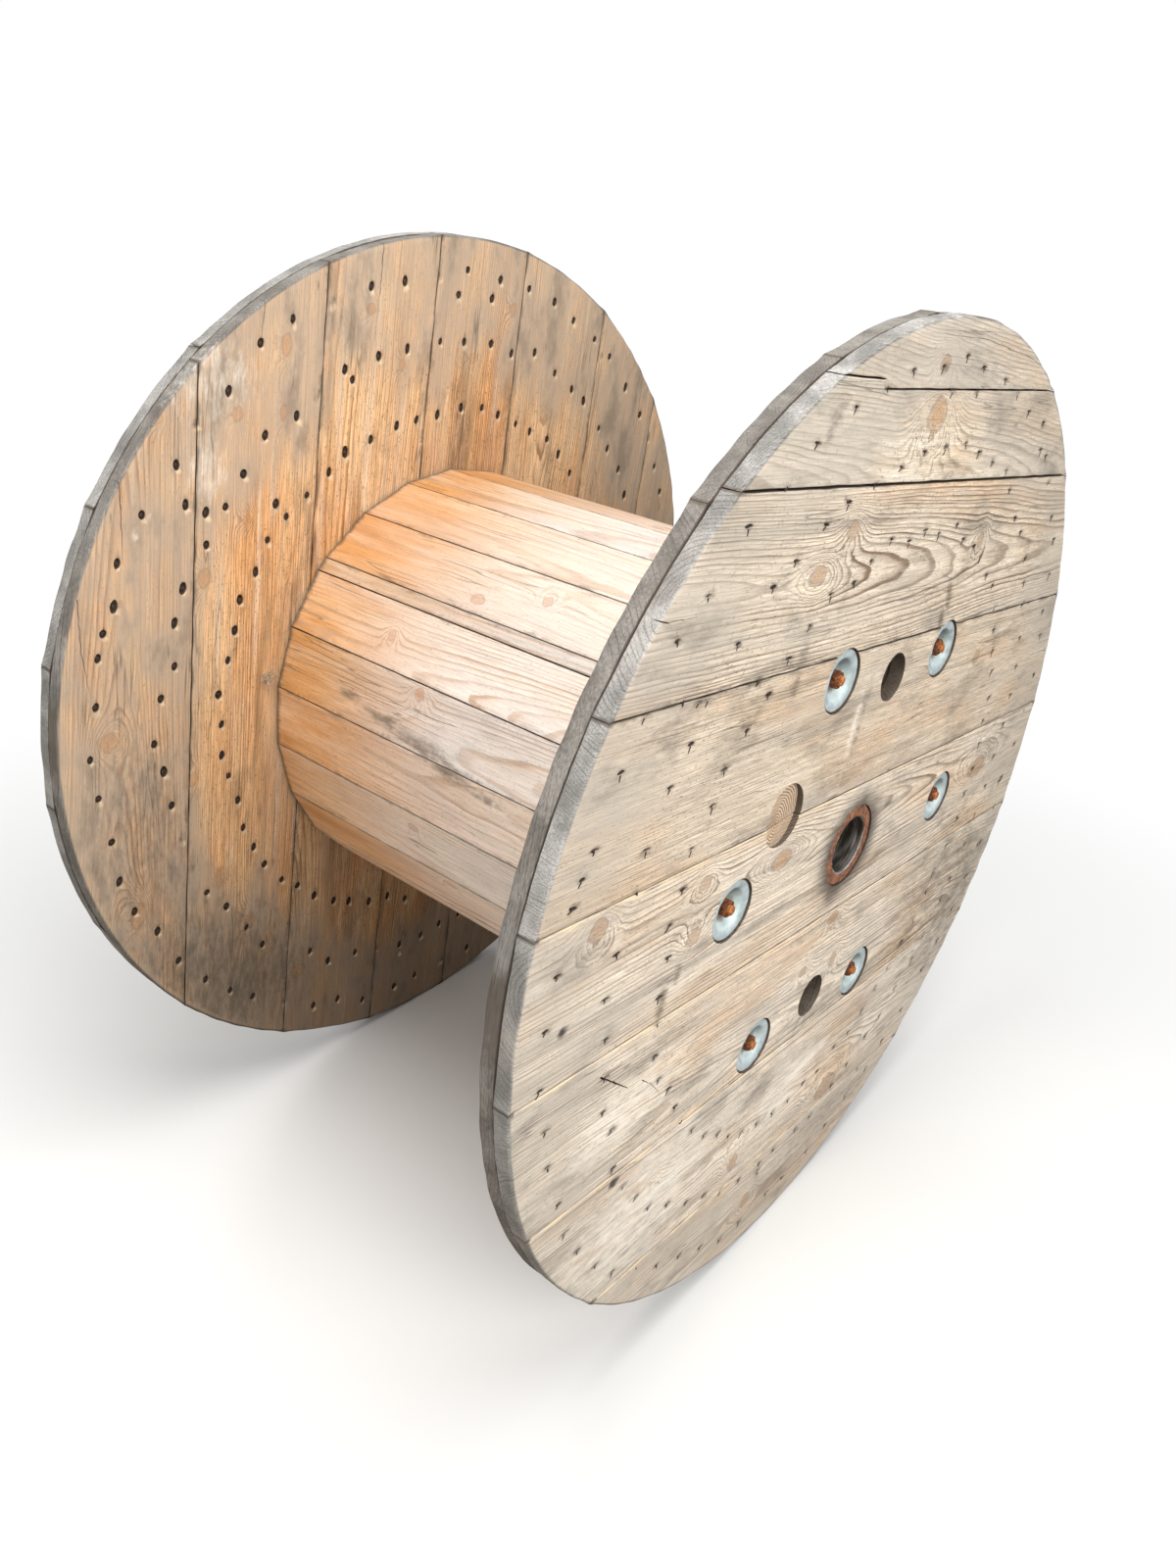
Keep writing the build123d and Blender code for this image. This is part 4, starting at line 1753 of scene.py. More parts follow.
@dataclass
class Flange:
    """One flange: two crossed plies of planks, nailed through and clinched."""

    side: Side
    outer_count: int
    inner_count: int = 7
    outer_wear: dict[int, Wear] = field(default_factory=dict)
    knots: dict[Ply, tuple[Knot, ...]] = field(default_factory=dict)
    blots: dict[Ply, tuple[Blot, ...]] = field(default_factory=dict)
    grains: dict[Ply, dict[int, Grain]] = field(default_factory=dict)
    splits: dict[Ply, tuple[Split, ...]] = field(default_factory=dict)
    highlit_arrises_below: float = -FLANGE_RADIUS

    def build(self) -> None:
        """Builds and dresses the planks and the nails."""
        nails = NailRings(self.side)
        planks = self.build_ply(Ply.OUTER, self.outer_count, nails.tip_pits())

        def surface(u: float, v: float) -> float:
            """The depth of the outer face at a place."""
            plank = next(p for p in planks if v < p.outline[:, 1].max() or p is planks[-1])
            return float(plank.face_depth(np.array([u]), np.array([v]))[0])

        self.build_ply(Ply.INNER, self.inner_count, nails.head_pits())
        steel = IronFinish(paint(58, 48, 44), paint(96, 62, 42), paint(30, 26, 26), 0.35, 0.3)
        material = steel.dress(f"{self.side.name.lower()}_nail_iron")
        for piece in (nails.heads(), nails.tips(surface)):
            dressed(piece, material)

    def build_ply(self, ply: Ply, count: int, pits: list[Pit]) -> list[Plank]:
        """Builds and dresses the planks of one ply.

        Args:
            ply: The ply.
            count: How many planks it has.
            pits: The holes in its exposed face.

        Returns:
            The planks.
        """
        planks = []
        board = flange_board(self.side, ply)
        cutters = FlangeCutters(self.side)
        cutter = cutters.outer() if ply is Ply.OUTER else cutters.inner()
        for number in range(1, count + 1):
            node = f"{self.side.name.lower()}_{ply.value}_plank_{number}"
            outline = cad_outline(node, board, board.thickness)
            seed = self.seed(ply, number)
            wear = self.wear(ply, number, seed)
            plank = Plank(f"{node}_worn", board, outline, seed, wear, self.pits_in(outline, pits))
            planks.append(plank)
            piece = plank.build()
            low, high = outline[:, 1].min(), outline[:, 1].max()
            if self.is_bored(ply, low, high):
                cut(piece, cutter)
            for split in self.splits.get(ply, ()):
                if low < split.middle(board) < high:
                    wedge = split.cutter(board)
                    cut(piece, wedge)
                    bpy.data.objects.remove(wedge)
            self.mark(piece, board, ply)
            grain = self.grain(ply, board, number, low, high)
            finish = OUTER_FINISH if ply is Ply.OUTER else INNER_FINISH
            dressed(piece, finish.dress(f"{node}_timber", board, grain), node)
        bpy.data.objects.remove(cutter)
        return planks

    def seed(self, ply: Ply, number: int) -> int:
        """The seed of everything uneven about a plank."""
        return 1000 * (self.side.value + 2) + (100 if ply is Ply.OUTER else 500) + number

    def is_bored(self, ply: Ply, low: float, high: float) -> bool:
        """Whether a plank between two heights is cut by any hole."""
        reach = ROD_CIRCLE_RADIUS if ply is Ply.OUTER else BUSH_HOLE_RADIUS
        return low < reach and high > -reach

    def wear(self, ply: Ply, number: int, seed: int) -> Wear:
        """How worn a plank is, as seen or else drawn from its seed.

        Args:
            ply: The ply.
            number: The plank's number.
            seed: The plank's seed.

        Returns:
            The wear.
        """
        if ply is Ply.OUTER and number in self.outer_wear:
            return self.outer_wear[number]
        rng = np.random.default_rng(seed)
        gap = 0.0 if ply is Ply.OUTER else rng.uniform(0.3, 0.6)
        return Wear(
            sink=rng.uniform(0.2, 1.0), tilt=rng.uniform(-0.4, 0.4), trim=rng.uniform(0.2, 2.4),
            open_low=gap, open_high=gap,
        )

    def pits_in(self, outline: Array, pits: Iterable[Pit]) -> list[Pit]:
        """The pits that lie well inside a plank.

        Args:
            outline: The plank's outline.
            pits: All pits of the ply.

        Returns:
            Those inside.
        """
        low, high = outline[:, 1].min(), outline[:, 1].max()
        inside = []
        for pit in pits:
            clear = pit.half_long + 3 * MM
            within_rim = math.hypot(pit.a, pit.c) < FLANGE_RADIUS - 8 * MM - clear
            near = [p for p in inside if math.hypot(p.a - pit.a, p.c - pit.c) < p.half_long + clear]
            if low + clear < pit.c < high - clear and within_rim and not near:
                inside.append(pit)
        return inside

    def mark(self, piece: bpy.types.Object, board: Board, ply: Ply) -> None:
        """Lays the stains and pale, weathered places on a plank's points, with the painted light, highlights
        and shade among them.

        Args:
            piece: The plank.
            board: Where it lies.
            ply: Its ply.
        """
        points = points_of(piece)
        a, c, depth = board.from_row(points)
        u, v = (a, c) if ply is Ply.OUTER else (c, a)
        marks = {name: np.zeros(len(a)) for name in ("iron", "grime", "grease", "bleach", "fresh")}
        for blot in self.blots.get(ply, ()):
            marks[blot.mark] = np.maximum(marks[blot.mark], blot.amount(points))
        for nail in NailRings(self.side).nails():
            near = (np.abs(u - nail.u) < 30 * MM) & (np.abs(v - nail.v) < 30 * MM)
            x, y = (u - nail.u)[near], (v - nail.v)[near]
            along, over = (x, y) if ply is Ply.OUTER else (y, x)
            halo = 0.58 * np.exp(-((along / (12 * MM)) ** 2) - (over / (4.5 * MM)) ** 2)
            pit = (np.hypot(along, over) < 9 * MM) & (depth[near] > 3.4 * MM)
            marks["iron"][near] = np.maximum(marks["iron"][near], np.where(pit, 0.95, halo))
            if ply is Ply.INNER:
                torn = 1.1 * np.exp(-(((x - 2 * MM) / (4 * MM)) ** 2) - ((y + 7 * MM) / (4 * MM)) ** 2)
                marks["fresh"][near] = np.maximum(marks["fresh"][near], np.where(pit, 0, torn))
        low, high = c.min(), c.max()
        to_joint = np.minimum(c - low, high - c)
        arris = np.exp(-((to_joint / (2.2 * MM)) ** 2)) * (depth < 4 * MM)
        middle = (low + high) / 2
        # Painted highlight: the upper arrises of the lower outer planks get a pale line, as if lit from
        # above, fading towards the right.
        has_arris_highlight = (ply is Ply.OUTER) & (c > middle) & (high < self.highlit_arrises_below)
        uneven = Ripple(int(abs(middle) * 1e4), 1.0, 0.09, 0.02).at(a, c)
        marks["grime"] = np.maximum(marks["grime"], np.where(has_arris_highlight, 0, 0.75 * arris * (0.35 + uneven)))
        band = np.exp(-((to_joint / (2.3 * MM)) ** 2)) * (depth < 4 * MM) * np.clip(0.6 - 0.6 * a, 0.25, 0.9)
        marks["fresh"] = np.where(has_arris_highlight, band * (0.2 + uneven), marks["fresh"])
        at_rim = np.hypot(a, c) > FLANGE_RADIUS - 9 * MM
        marks["grime"] = np.where(at_rim, 1.1 * np.exp(-((to_joint / (2.2 * MM)) ** 2)), marks["grime"])
        marks["fresh"] = np.where(at_rim, 0, marks["fresh"])
        lay_marks(piece, marks)

    def grain(self, ply: Ply, board: Board, number: int, low: float, high: float) -> Grain:
        """How the wood of a plank grew, with the knots that it shows.

        Args:
            ply: The ply.
            board: Where its planks lie.
            number: The plank's number.
            low: Its lower edge.
            high: Its upper edge.

        Returns:
            The grain.
        """
        seed = self.seed(ply, number)
        rng = np.random.default_rng(seed + 7)
        seen = self.knots.get(ply, ())
        knots = tuple(knot for knot in seen if low < knot.on(board)[1] < high)
        if not seen:
            reach = math.sqrt(max(FLANGE_RADIUS**2 - max(abs(low), abs(high)) ** 2, 0.05))
            count = rng.integers(2, 5)
            along, across = rng.uniform(-reach, reach, count), rng.uniform(low, high, count)
            places = board.to_row(along, across, np.zeros(count))
            knots = tuple(Knot(*(place / MM), rng.uniform(6, 15)) for place in places)
        grains = self.grains.get(ply, {})
        if number in grains:
            return replace(grains[number], knots=knots)
        light, warm = rng.uniform(0.84, 1.06), rng.uniform(-0.05, 0.05)
        return Grain(
            seed,
            heart=rng.uniform(low, high),
            pith_depth=rng.uniform(30, 90) * MM,
            run_out=rng.uniform(-0.05, 0.05),
            ring_pitch=rng.uniform(3.6, 5.6) * MM,
            contrast=rng.uniform(0.6, 1.1),
            tone=(light * (1 + warm), light, light * (1 - warm), 1.0),
            knots=knots,
        )


@dataclass
class Barrel:
    """The staves of the barrel, pale at the front and orange at the rear."""

    stave_count: int = 23
    filler_tone: tuple[float, float] = (0.86, -0.05)
    seen_knots: tuple[tuple[float, float, float, float], ...] = (
        (100, 156, 9, 1.0), (85, 130.5, 10, 0.3), (190, 146, 7, 0.4), (85, 189, 8, 0.3), (-20, 125, 8, 0.2),
        (30, 203, 9, 0.4),
    )
    mould: tuple[tuple[float, float, float, float], ...] = (
        (150, 165, 60, 9), (70, 167, 70, 12), (15, 170, 40, 14), (-60, 172, 30, 8), (230, 163, 30, 8),
    )

    def build(self) -> None:
        """Builds and dresses the staves."""
        names = ["barrel_filler_stave"] + [f"barrel_stave_{n}" for n in range(1, self.stave_count + 1)]
        for number, node in enumerate(names):
            board = self.board(node)
            outline = cad_outline(node, board, 0.0)
            rng = np.random.default_rng(700 + number)
            wear = Wear(
                sink=rng.uniform(0.05, 0.4), tilt=rng.uniform(-0.3, 0.3), uneven=0.3, joint_round=0.8,
                end_round=1.2, open_low=rng.uniform(0.0, 0.3), open_high=rng.uniform(0.0, 0.3),
                trim=0.1, fray=2.0,
            )
            half_width = outline[:, 1].max()
            slope = half_width / np.linalg.norm(board.origin)
            plank = Plank(f"{node}_worn", board, outline, 700 + number, wear, bevel=slope)
            piece = plank.build()
            self.mark(piece, board, half_width)
            light, warm = rng.uniform(0.9, 1.03), rng.uniform(-0.03, 0.05)
            if node == "barrel_filler_stave":
                light, warm = self.filler_tone
            grain = Grain(
                700 + number, heart=rng.uniform(-0.05, 0.05), pith_depth=rng.uniform(30, 90) * MM,
                run_out=rng.uniform(-0.04, 0.04), ring_pitch=rng.uniform(3.6, 6.0) * MM, sway=10 * MM,
                contrast=rng.uniform(0.7, 1.2), tone=(light * (1 + warm), light, light * (1 - warm), 1.0),
                knots=self.knots(board, half_width),
            )
            dressed(piece, BARREL_FINISH.dress(f"{node}_timber", board, grain), node)

    def around(self, board: Board, degrees: float) -> float:
        """How far across a stave an angle round the barrel lies.

        Args:
            board: Where the stave lies.
            degrees: The angle, from the right towards the top.

        Returns:
            The distance from the stave's middle, or a whole metre on the barrel's other side.
        """
        angle = math.radians(degrees)
        direction = np.array([math.cos(angle), 0.0, math.sin(angle)])
        ahead = float(direction @ -board.inward)
        if ahead < 0.5:
            return 1.0
        return float(direction @ board.across) / ahead * float(np.linalg.norm(board.origin))

    def knots(self, board: Board, half_width: float) -> tuple[Knot, ...]:
        """The knots of a stave: those that show, or else one or two more.

        Args:
            board: Where the stave lies.
            half_width: Half the stave's width.

        Returns:
            The knots.
        """
        found = []
        for y, degrees, radius, warmth in self.seen_knots:
            across = self.around(board, degrees)
            if abs(across) < half_width:
                place = board.to_row(np.array([y * MM]), np.array([across]), np.zeros(1))[0]
                found.append(Knot(*(place / MM), radius, warmth))
        if board.origin[0] > 0:
            rng = np.random.default_rng(int(abs(board.origin[0]) * 1e5))
            along, across = rng.uniform(-0.3, 0.3, 1), rng.uniform(-0.5, 0.5, 1) * half_width
            place = board.to_row(along, across, np.zeros(1))[0]
            found.append(Knot(*(place / MM), rng.uniform(5, 10), 0.5))
        return tuple(found)

    def mark(self, piece: bpy.types.Object, board: Board, half_width: float) -> None:
        """Lays dirt and painted shade along a stave's joints, down its sides and at its rear end, where it
        meets the flange, and mould where it grew.

        Args:
            piece: The stave.
            board: Where it lies.
            half_width: Half its width.
        """
        a, c, depth = board.from_row(points_of(piece))
        # Dirt and painted shade along the joints.
        grime = np.exp(-(((half_width - np.abs(c)) / (1.1 * MM)) ** 2)) * 0.9
        # Dirt and painted shade where the stave meets the rear flange.
        to_rear = INNER_FACE - a
        grime = np.maximum(grime, 1.1 * np.exp(-((to_rear / (7 * MM)) ** 2)))
        # Painted shade on all that lies below the face, down the sides of the staves.
        grime = np.maximum(grime, np.where(depth > 1.5 * MM, 1.0, 0.0))
        mould = np.zeros(len(a))
        for y, degrees, half_long, half_wide in self.mould:
            across = self.around(board, degrees)
            far = ((a - y * MM) / (half_long * MM)) ** 2 + ((c - across) / (half_wide * MM)) ** 2
            mould = np.maximum(mould, 0.75 * np.exp(-far))
        lay_marks(piece, {"grime": np.maximum(grime, mould)})

    def board(self, node: str) -> Board:
        """Where a stave lies, found from the middle of its outer face.

        Args:
            node: The stave's CAD node.

        Returns:
            The board's axes.
        """
        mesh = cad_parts[node].data
        best = max(mesh.polygons, key=lambda p: Vector((p.center.x, 0, p.center.z)).dot(p.normal))
        outward = np.array([best.normal.x, 0.0, best.normal.z])
        outward /= np.linalg.norm(outward)
        reach = np.array([vertex.co for vertex in mesh.vertices]) @ outward
        across = np.array([outward[2], 0.0, -outward[0]])
        along = np.array([0.0, 1.0, 0.0])
        return Board(outward * reach.max(), along, across, -outward, reach.max() - reach.min())


@dataclass
class Bush:
    """The rusted steel bush that the spindle runs in."""

    side: Side
    bore: float = 40 * MM
    mouth: float = 43 * MM
    lip_depth: float = 2 * MM
    sides: int = 120

    def build(self) -> None:
        """Builds and dresses the bush."""
        node = f"{self.side.name.lower()}_bush"
        lip = extent(node, 0) / 2
        outer = BUSH_HOLE_RADIUS - 0.3 * MM
        end = self.lip_depth + 58 * MM
        top = self.lip_depth
        profile = [
            (self.mouth, top + 10 * MM), (self.mouth, top + 5 * MM), (self.mouth + 0.2 * MM, top + 1.5 * MM),
            (self.mouth + 1.4 * MM, top + 0.3 * MM), (self.mouth + 4 * MM, top), (lip - 8 * MM, top),
            (lip - 3.5 * MM, top + 0.1 * MM), (lip - 1.2 * MM, top + 0.7 * MM),
            (lip - 0.3 * MM, top + 1.8 * MM), (lip - 0.3 * MM, top + 3 * MM), (outer, top + 3 * MM),
            (outer, end), (self.bore, end), (self.bore, top + 34 * MM), (self.bore, top + 10 * MM),
        ]
        rough = Ripple(31, 1.3 * MM, 0.35, 0.35, waves=11)

        def eaten(angles: Array, depth: float) -> Array:
            """The rust's bite into the lip."""
            return -rough.at(np.cos(angles), np.sin(angles)) * (1.0 if depth < top + 2 * MM else 0.1)

        points, faces = turned(profile, self.sides, eaten)
        pitted = Ripple(33, 0.7 * MM, 9 * MM, 9 * MM, waves=15)
        near_top = points[:, 2] < top + 1 * MM
        points[near_top, 2] += pitted.at(points[near_top, 0], points[near_top, 1])
        board = flange_board(self.side, Ply.OUTER)
        piece = closed_mesh(f"{node}_rusted", board.to_row(*points.T), faces)
        dressed(piece, BushFinish(self.mouth + 1.5 * MM).dress(f"{node}_rust"), node)


@dataclass
class FibreTuft:
    """A wisp of frayed twine caught in a nail hole of the rear flange."""

    x: float = -362.0
    z: float = 86.0
    fibres: int = 46
    segments: int = 9
    thickness: float = 0.45
    seed: int = 77

    def build(self) -> None:
        """Builds and dresses the tuft."""
        rng = np.random.default_rng(self.seed)
        vertices, faces = [], []
        for _ in range(self.fibres):
            at = np.array([self.x + rng.normal(0, 2.5), INNER_FACE / MM + 2.0, self.z + rng.normal(0, 2.5)])
            heading = np.array([rng.normal(-0.2, 0.9), -0.9 - rng.uniform(0, 0.5), rng.normal(0.1, 0.8)])
            length = rng.uniform(2.0, 4.6)
            for k in range(self.segments + 1):
                share = k / self.segments
                radius = self.thickness * (1.05 - share)
                heading = heading + rng.normal(0, 0.42, 3) + np.array([0.0, 0.10, -0.10])
                heading /= np.linalg.norm(heading)
                side = np.cross(heading, (0.3, 0.2, 0.9))
                side /= np.linalg.norm(side)
                other = np.cross(heading, side)
                for corner in range(3):
                    angle = 2 * math.pi * corner / 3
                    vertices.append(at + radius * (side * math.cos(angle) + other * math.sin(angle)))
                at = at + heading * length
                if k:
                    at[1] = min(at[1], INNER_FACE / MM - 0.6)
            end = len(vertices)
            start = end - 3 * (self.segments + 1)
            faces += between_rings(range(start, end, 3), 3)
            faces += [(start, start + 1, start + 2), (end - 3, end - 2, end - 1)]
        piece = closed_mesh("fibre_tuft", np.array(vertices) * MM, faces, 80)
        graph = Graph.named("fibre_tuft_straw")
        tone = graph.noise(graph.object_place(), scale=300, detail=2)
        colour = graph.mix(graph.span(tone, 0.35, 0.65), paint(222, 208, 182), paint(160, 146, 120))
        dressed(piece, graph.finish(colour, 0.9, None))


@dataclass
class TieRodEnds:
    """The dished washers, the nuts and the rods at both flanges."""

    washer_sides: int = 72
    nut_sides: int = 48
    rod_sides: int = 24
    thread_pitch: float = 2 * MM
    thread_turns: int = 12

    def build(self) -> None:
        """Builds and dresses the washers, nuts and rods."""
        self.build_washers()
        self.build_nuts()
        self.build_rods()

    def everywhere(self, fitting: Body) -> Body:
        """Copies a fitting to every rod end of the drum, each turned by its own angle.

        Args:
            fitting: The fitting, along, across and down.

        Returns:
            All copies in the row frame, as one body.
        """
        rng = np.random.default_rng(12)
        points, faces = fitting
        copies = []
        for side in Side:
            board = flange_board(side, Ply.OUTER)
            for number in range(ROD_COUNT):
                angle = rng.uniform(0, 2 * math.pi)
                x = points[:, 0] * math.cos(angle) - points[:, 1] * math.sin(angle)
                y = points[:, 0] * math.sin(angle) + points[:, 1] * math.cos(angle)
                copy = np.column_stack([x, y, points[:, 2]]), faces
                copies.append(board.placed(copy, *FlangeCutters.rod_place(number)))
        return gathered(copies)

    def build_washers(self) -> None:
        """Builds the dished washers, pressed from sheet, with soft bends."""
        profile = [
            (40, 4.0), (39.7, 3.7), (39, 3.6), (34, 3.5), (32, 3.7), (30.6, 4.3), (29, 5.4), (24, 9.6),
            (19.8, 13.6), (18.4, 14.9), (17, 15.6), (15.4, 15.8), (7.6, 15.8), (7.6, 18.8), (18.2, 18.8),
            (21, 17.0), (31, 7.2), (32.4, 6.1), (34, 6.0), (39.4, 6.0), (40, 5.5),
        ]
        dish = Ripple(5, 0.5 * MM, 0.8, 0.8)
        points, faces = turned([(r * MM, d * MM) for r, d in profile], self.washer_sides)
        radius = np.hypot(points[:, 0], points[:, 1])
        buckle = dish.at(points[:, 0] * 30, points[:, 1] * 30) * (radius > 30 * MM)
        points[:, 2] = points[:, 2] - np.minimum(buckle, 0.5 * MM)
        piece = closed_mesh("washers_dished", *self.everywhere((points, faces)), 24)
        dressed(piece, ZincFinish().dress("washer_zinc"), "washers")

    def build_nuts(self) -> None:
        """Builds the rusted hexagon nuts."""
        flats, top = 22 * MM, 15.8 * MM - 11 * MM
        corner = flats / 2 / math.cos(math.pi / 6)
        profile = [
            (7.6, 4.8 + 0.9), (8.4, 4.8), (9.8, 4.8), (10.8, 5.0), (12.7, 6.2), (12.7, 9.0), (12.7, 12.0),
            (12.7, 14.8), (11.6, 15.78), (7.3, 15.78), (7.3, 10.0),
        ]
        points, faces = turned([(r * MM, d * MM) for r, d in profile], self.nut_sides)
        angles = np.arctan2(points[:, 1], points[:, 0])
        to_flat = (angles + math.pi / 6) % (math.pi / 3) - math.pi / 6
        flat_radius = flats / 2 / np.cos(to_flat)
        radius = np.hypot(points[:, 0], points[:, 1])
        shrink = np.minimum(1.0, flat_radius / radius)
        points[:, :2] *= shrink[:, None]
        lumps = Ripple(17, 1.0 * MM, 7 * MM, 7 * MM, waves=14)
        bite = lumps.at(points[:, 0] + points[:, 2] * 0.7, points[:, 1] - points[:, 2] * 0.5)
        outside = radius > 9 * MM
        points[outside, :2] *= (1 - bite[outside] / corner)[:, None]
        points[:, 2] = np.where(points[:, 2] < top + 2 * MM, points[:, 2] + bite * 0.6, points[:, 2])
        piece = closed_mesh("nuts_rusted", *self.everywhere((points, faces)), 45)
        rust = IronFinish(
            paint(96, 56, 34), paint(172, 94, 44), paint(40, 27, 22), cover=0.34, rough=0.88, lumps=0.8 * MM,
            scale=220,
        )
        dressed(piece, rust.dress("nut_rust"), "nuts")

    def build_rods(self) -> None:
        """Builds the rods, threaded at both ends."""
        inset = HALF_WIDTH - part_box("tie_rods")[1].y
        sides = self.rod_sides
        angles = np.linspace(0, 2 * math.pi, sides, endpoint=False)
        rings = [(np.full(sides, ROD_RADIUS - 1.4 * MM), inset)]
        for k in range(self.thread_turns * 4 + 1):
            depth = inset + 0.8 * MM + k * self.thread_pitch / 4
            phase = (depth / self.thread_pitch - angles / (2 * math.pi)) % 1
            rings.append((ROD_RADIUS - 0.05 * MM - 0.55 * MM * np.abs(phase - 0.5) * 2, depth))
        rings += [(radius, 2 * HALF_WIDTH - depth) for radius, depth in reversed(rings)]
        points = np.concatenate(
            [np.column_stack([r * np.cos(angles), r * np.sin(angles), np.full(sides, d)]) for r, d in rings]
        )
        faces = between_rings(range(0, len(points), sides), sides)
        faces += [tuple(range(sides)), tuple(range(len(points) - sides, len(points)))]
        board = flange_board(Side.FRONT, Ply.OUTER)
        places = [FlangeCutters.rod_place(number) for number in range(ROD_COUNT)]
        rods = gathered(board.placed((points, faces), *place) for place in places)
        piece = closed_mesh("tie_rods_threaded", *rods, 60)
        rust = IronFinish(
            paint(132, 76, 42), paint(210, 134, 70), paint(54, 34, 26), rough=0.85, lumps=0.4 * MM, scale=320
        )
        dressed(piece, rust.dress("rod_rust"), "tie_rods")


@dataclass
class Studio:
    """The pale floor, the soft light and the camera at the photograph's viewing angle."""

    camera_place: tuple[float, float, float] = (-1.37486, -1.00770, 0.82352)
    looks_along: tuple[float, float, float] = (0.71669, 0.51739, -0.46761)
    up: tuple[float, float, float] = (0.31955, 0.35235, 0.87962)
    lens: float = 27.264
    shift_x: float = -0.01647
    shift_y: float = 0.00203
    floor_tone: Colour = paint(226, 225, 222)
    bounce_tone: Colour = paint(172, 169, 164)
    ambient_low: float = 0.12
    ambient_high: float = 0.42

    def build(self) -> None:
        """Builds the floor, the light and the camera."""
        self.build_camera()
        self.build_floor()
        self.build_world()
        self.area("overhead", (-0.7, -0.6, 2.9), (0.0, -0.1, 0.0), 2.0, 92)
        self.area("from_front", (-1.0, -3.4, 1.7), (-0.1, -0.4, -0.2), 1.8, 101)
        self.area("from_left", (-3.6, 0.1, 0.9), (0.0, 0.0, 0.0), 1.8, 38)
        self.area("from_behind", (1.6, 3.6, 1.8), (0.0, 0.4, 0.0), 1.8, 60)
        bpy.context.scene.view_settings.view_transform = "Standard"

    def build_camera(self) -> None:
        """Builds the camera."""
        data = bpy.data.cameras.new("camera")
        camera = added("camera", data)
        forward, up = Vector(self.looks_along).normalized(), Vector(self.up)
        right = forward.cross(up).normalized()
        up = right.cross(forward)
        turn = Matrix((right, up, -forward)).transposed()
        camera.matrix_world = Matrix.Translation(self.camera_place) @ turn.to_4x4()
        data.lens = self.lens
        data.shift_x = self.shift_x
        data.shift_y = self.shift_y
        bpy.context.scene.camera = camera

    def build_floor(self) -> None:
        """Builds the floor, which the camera sees as plain pale paper."""
        half = 30.0
        level = CAD_LOW.z
        mesh = bpy.data.meshes.new("floor")
        corners = [(-half, -half, level), (half, -half, level), (half, half, level), (-half, half, level)]
        mesh.from_pydata(corners, [], [(0, 1, 2, 3)])
        floor = added("floor", mesh)
        graph = Graph.named("floor_paper")
        x, y, _ = graph.split(graph.object_place())
        camera = graph.add("ShaderNodeLightPath").outputs["Is Camera Ray"]
        away = graph.times(graph.span(graph.distance(graph.join(x, y, 0.0)), 0.85, 2.2), camera)
        tone = graph.mix(away, graph.mix(camera, self.bounce_tone, self.floor_tone), BLACK)
        paper = graph.finish(
            tone, 0.9, None, Specular_IOR_Level=0.1, Emission_Color=WHITE, Emission_Strength=away
        )
        mesh.materials.append(paper)

    def build_world(self) -> None:
        """Builds the light from all round, stronger from above, with a white background."""
        world = bpy.data.worlds.new("studio_light")
        bpy.context.scene.world = world
        graph = Graph(world)
        path = graph.add("ShaderNodeLightPath")
        mirrored = graph.math("MAXIMUM", path.outputs["Is Glossy Ray"], path.outputs["Is Transmission Ray"])
        seen = graph.math("MAXIMUM", path.outputs["Is Camera Ray"], mirrored)
        height = graph.split(graph.add("ShaderNodeTexCoord").outputs["Generated"])[2]
        strength = graph.span(height, -0.7, 1.0, self.ambient_low, self.ambient_high)
        light = graph.add("ShaderNodeBackground", {"Color": paint(240, 244, 250), "Strength": strength})
        white = graph.add("ShaderNodeBackground", {"Color": WHITE})
        mixed = graph.add("ShaderNodeMixShader", {0: seen, 1: light.outputs[0], 2: white.outputs[0]})
        graph.add("ShaderNodeOutputWorld", {"Surface": mixed.outputs[0]})

    def area(
        self, name: str, place: Sequence[float], aim: Sequence[float], size: float, power: float
    ) -> None:
        """Adds a square soft light.

        Args:
            name: Its name.
            place: Where it hangs.
            aim: What it points at.
            size: The length of its side.
            power: Its power in watts.
        """
        data = bpy.data.lights.new(name, "AREA")
        data.shape = "SQUARE"
        data.size = size
        data.energy = power
        lamp = added(name, data)
        lamp.location = place
        lamp.rotation_euler = (Vector(aim) - Vector(place)).to_track_quat("-Z", "Y").to_euler()


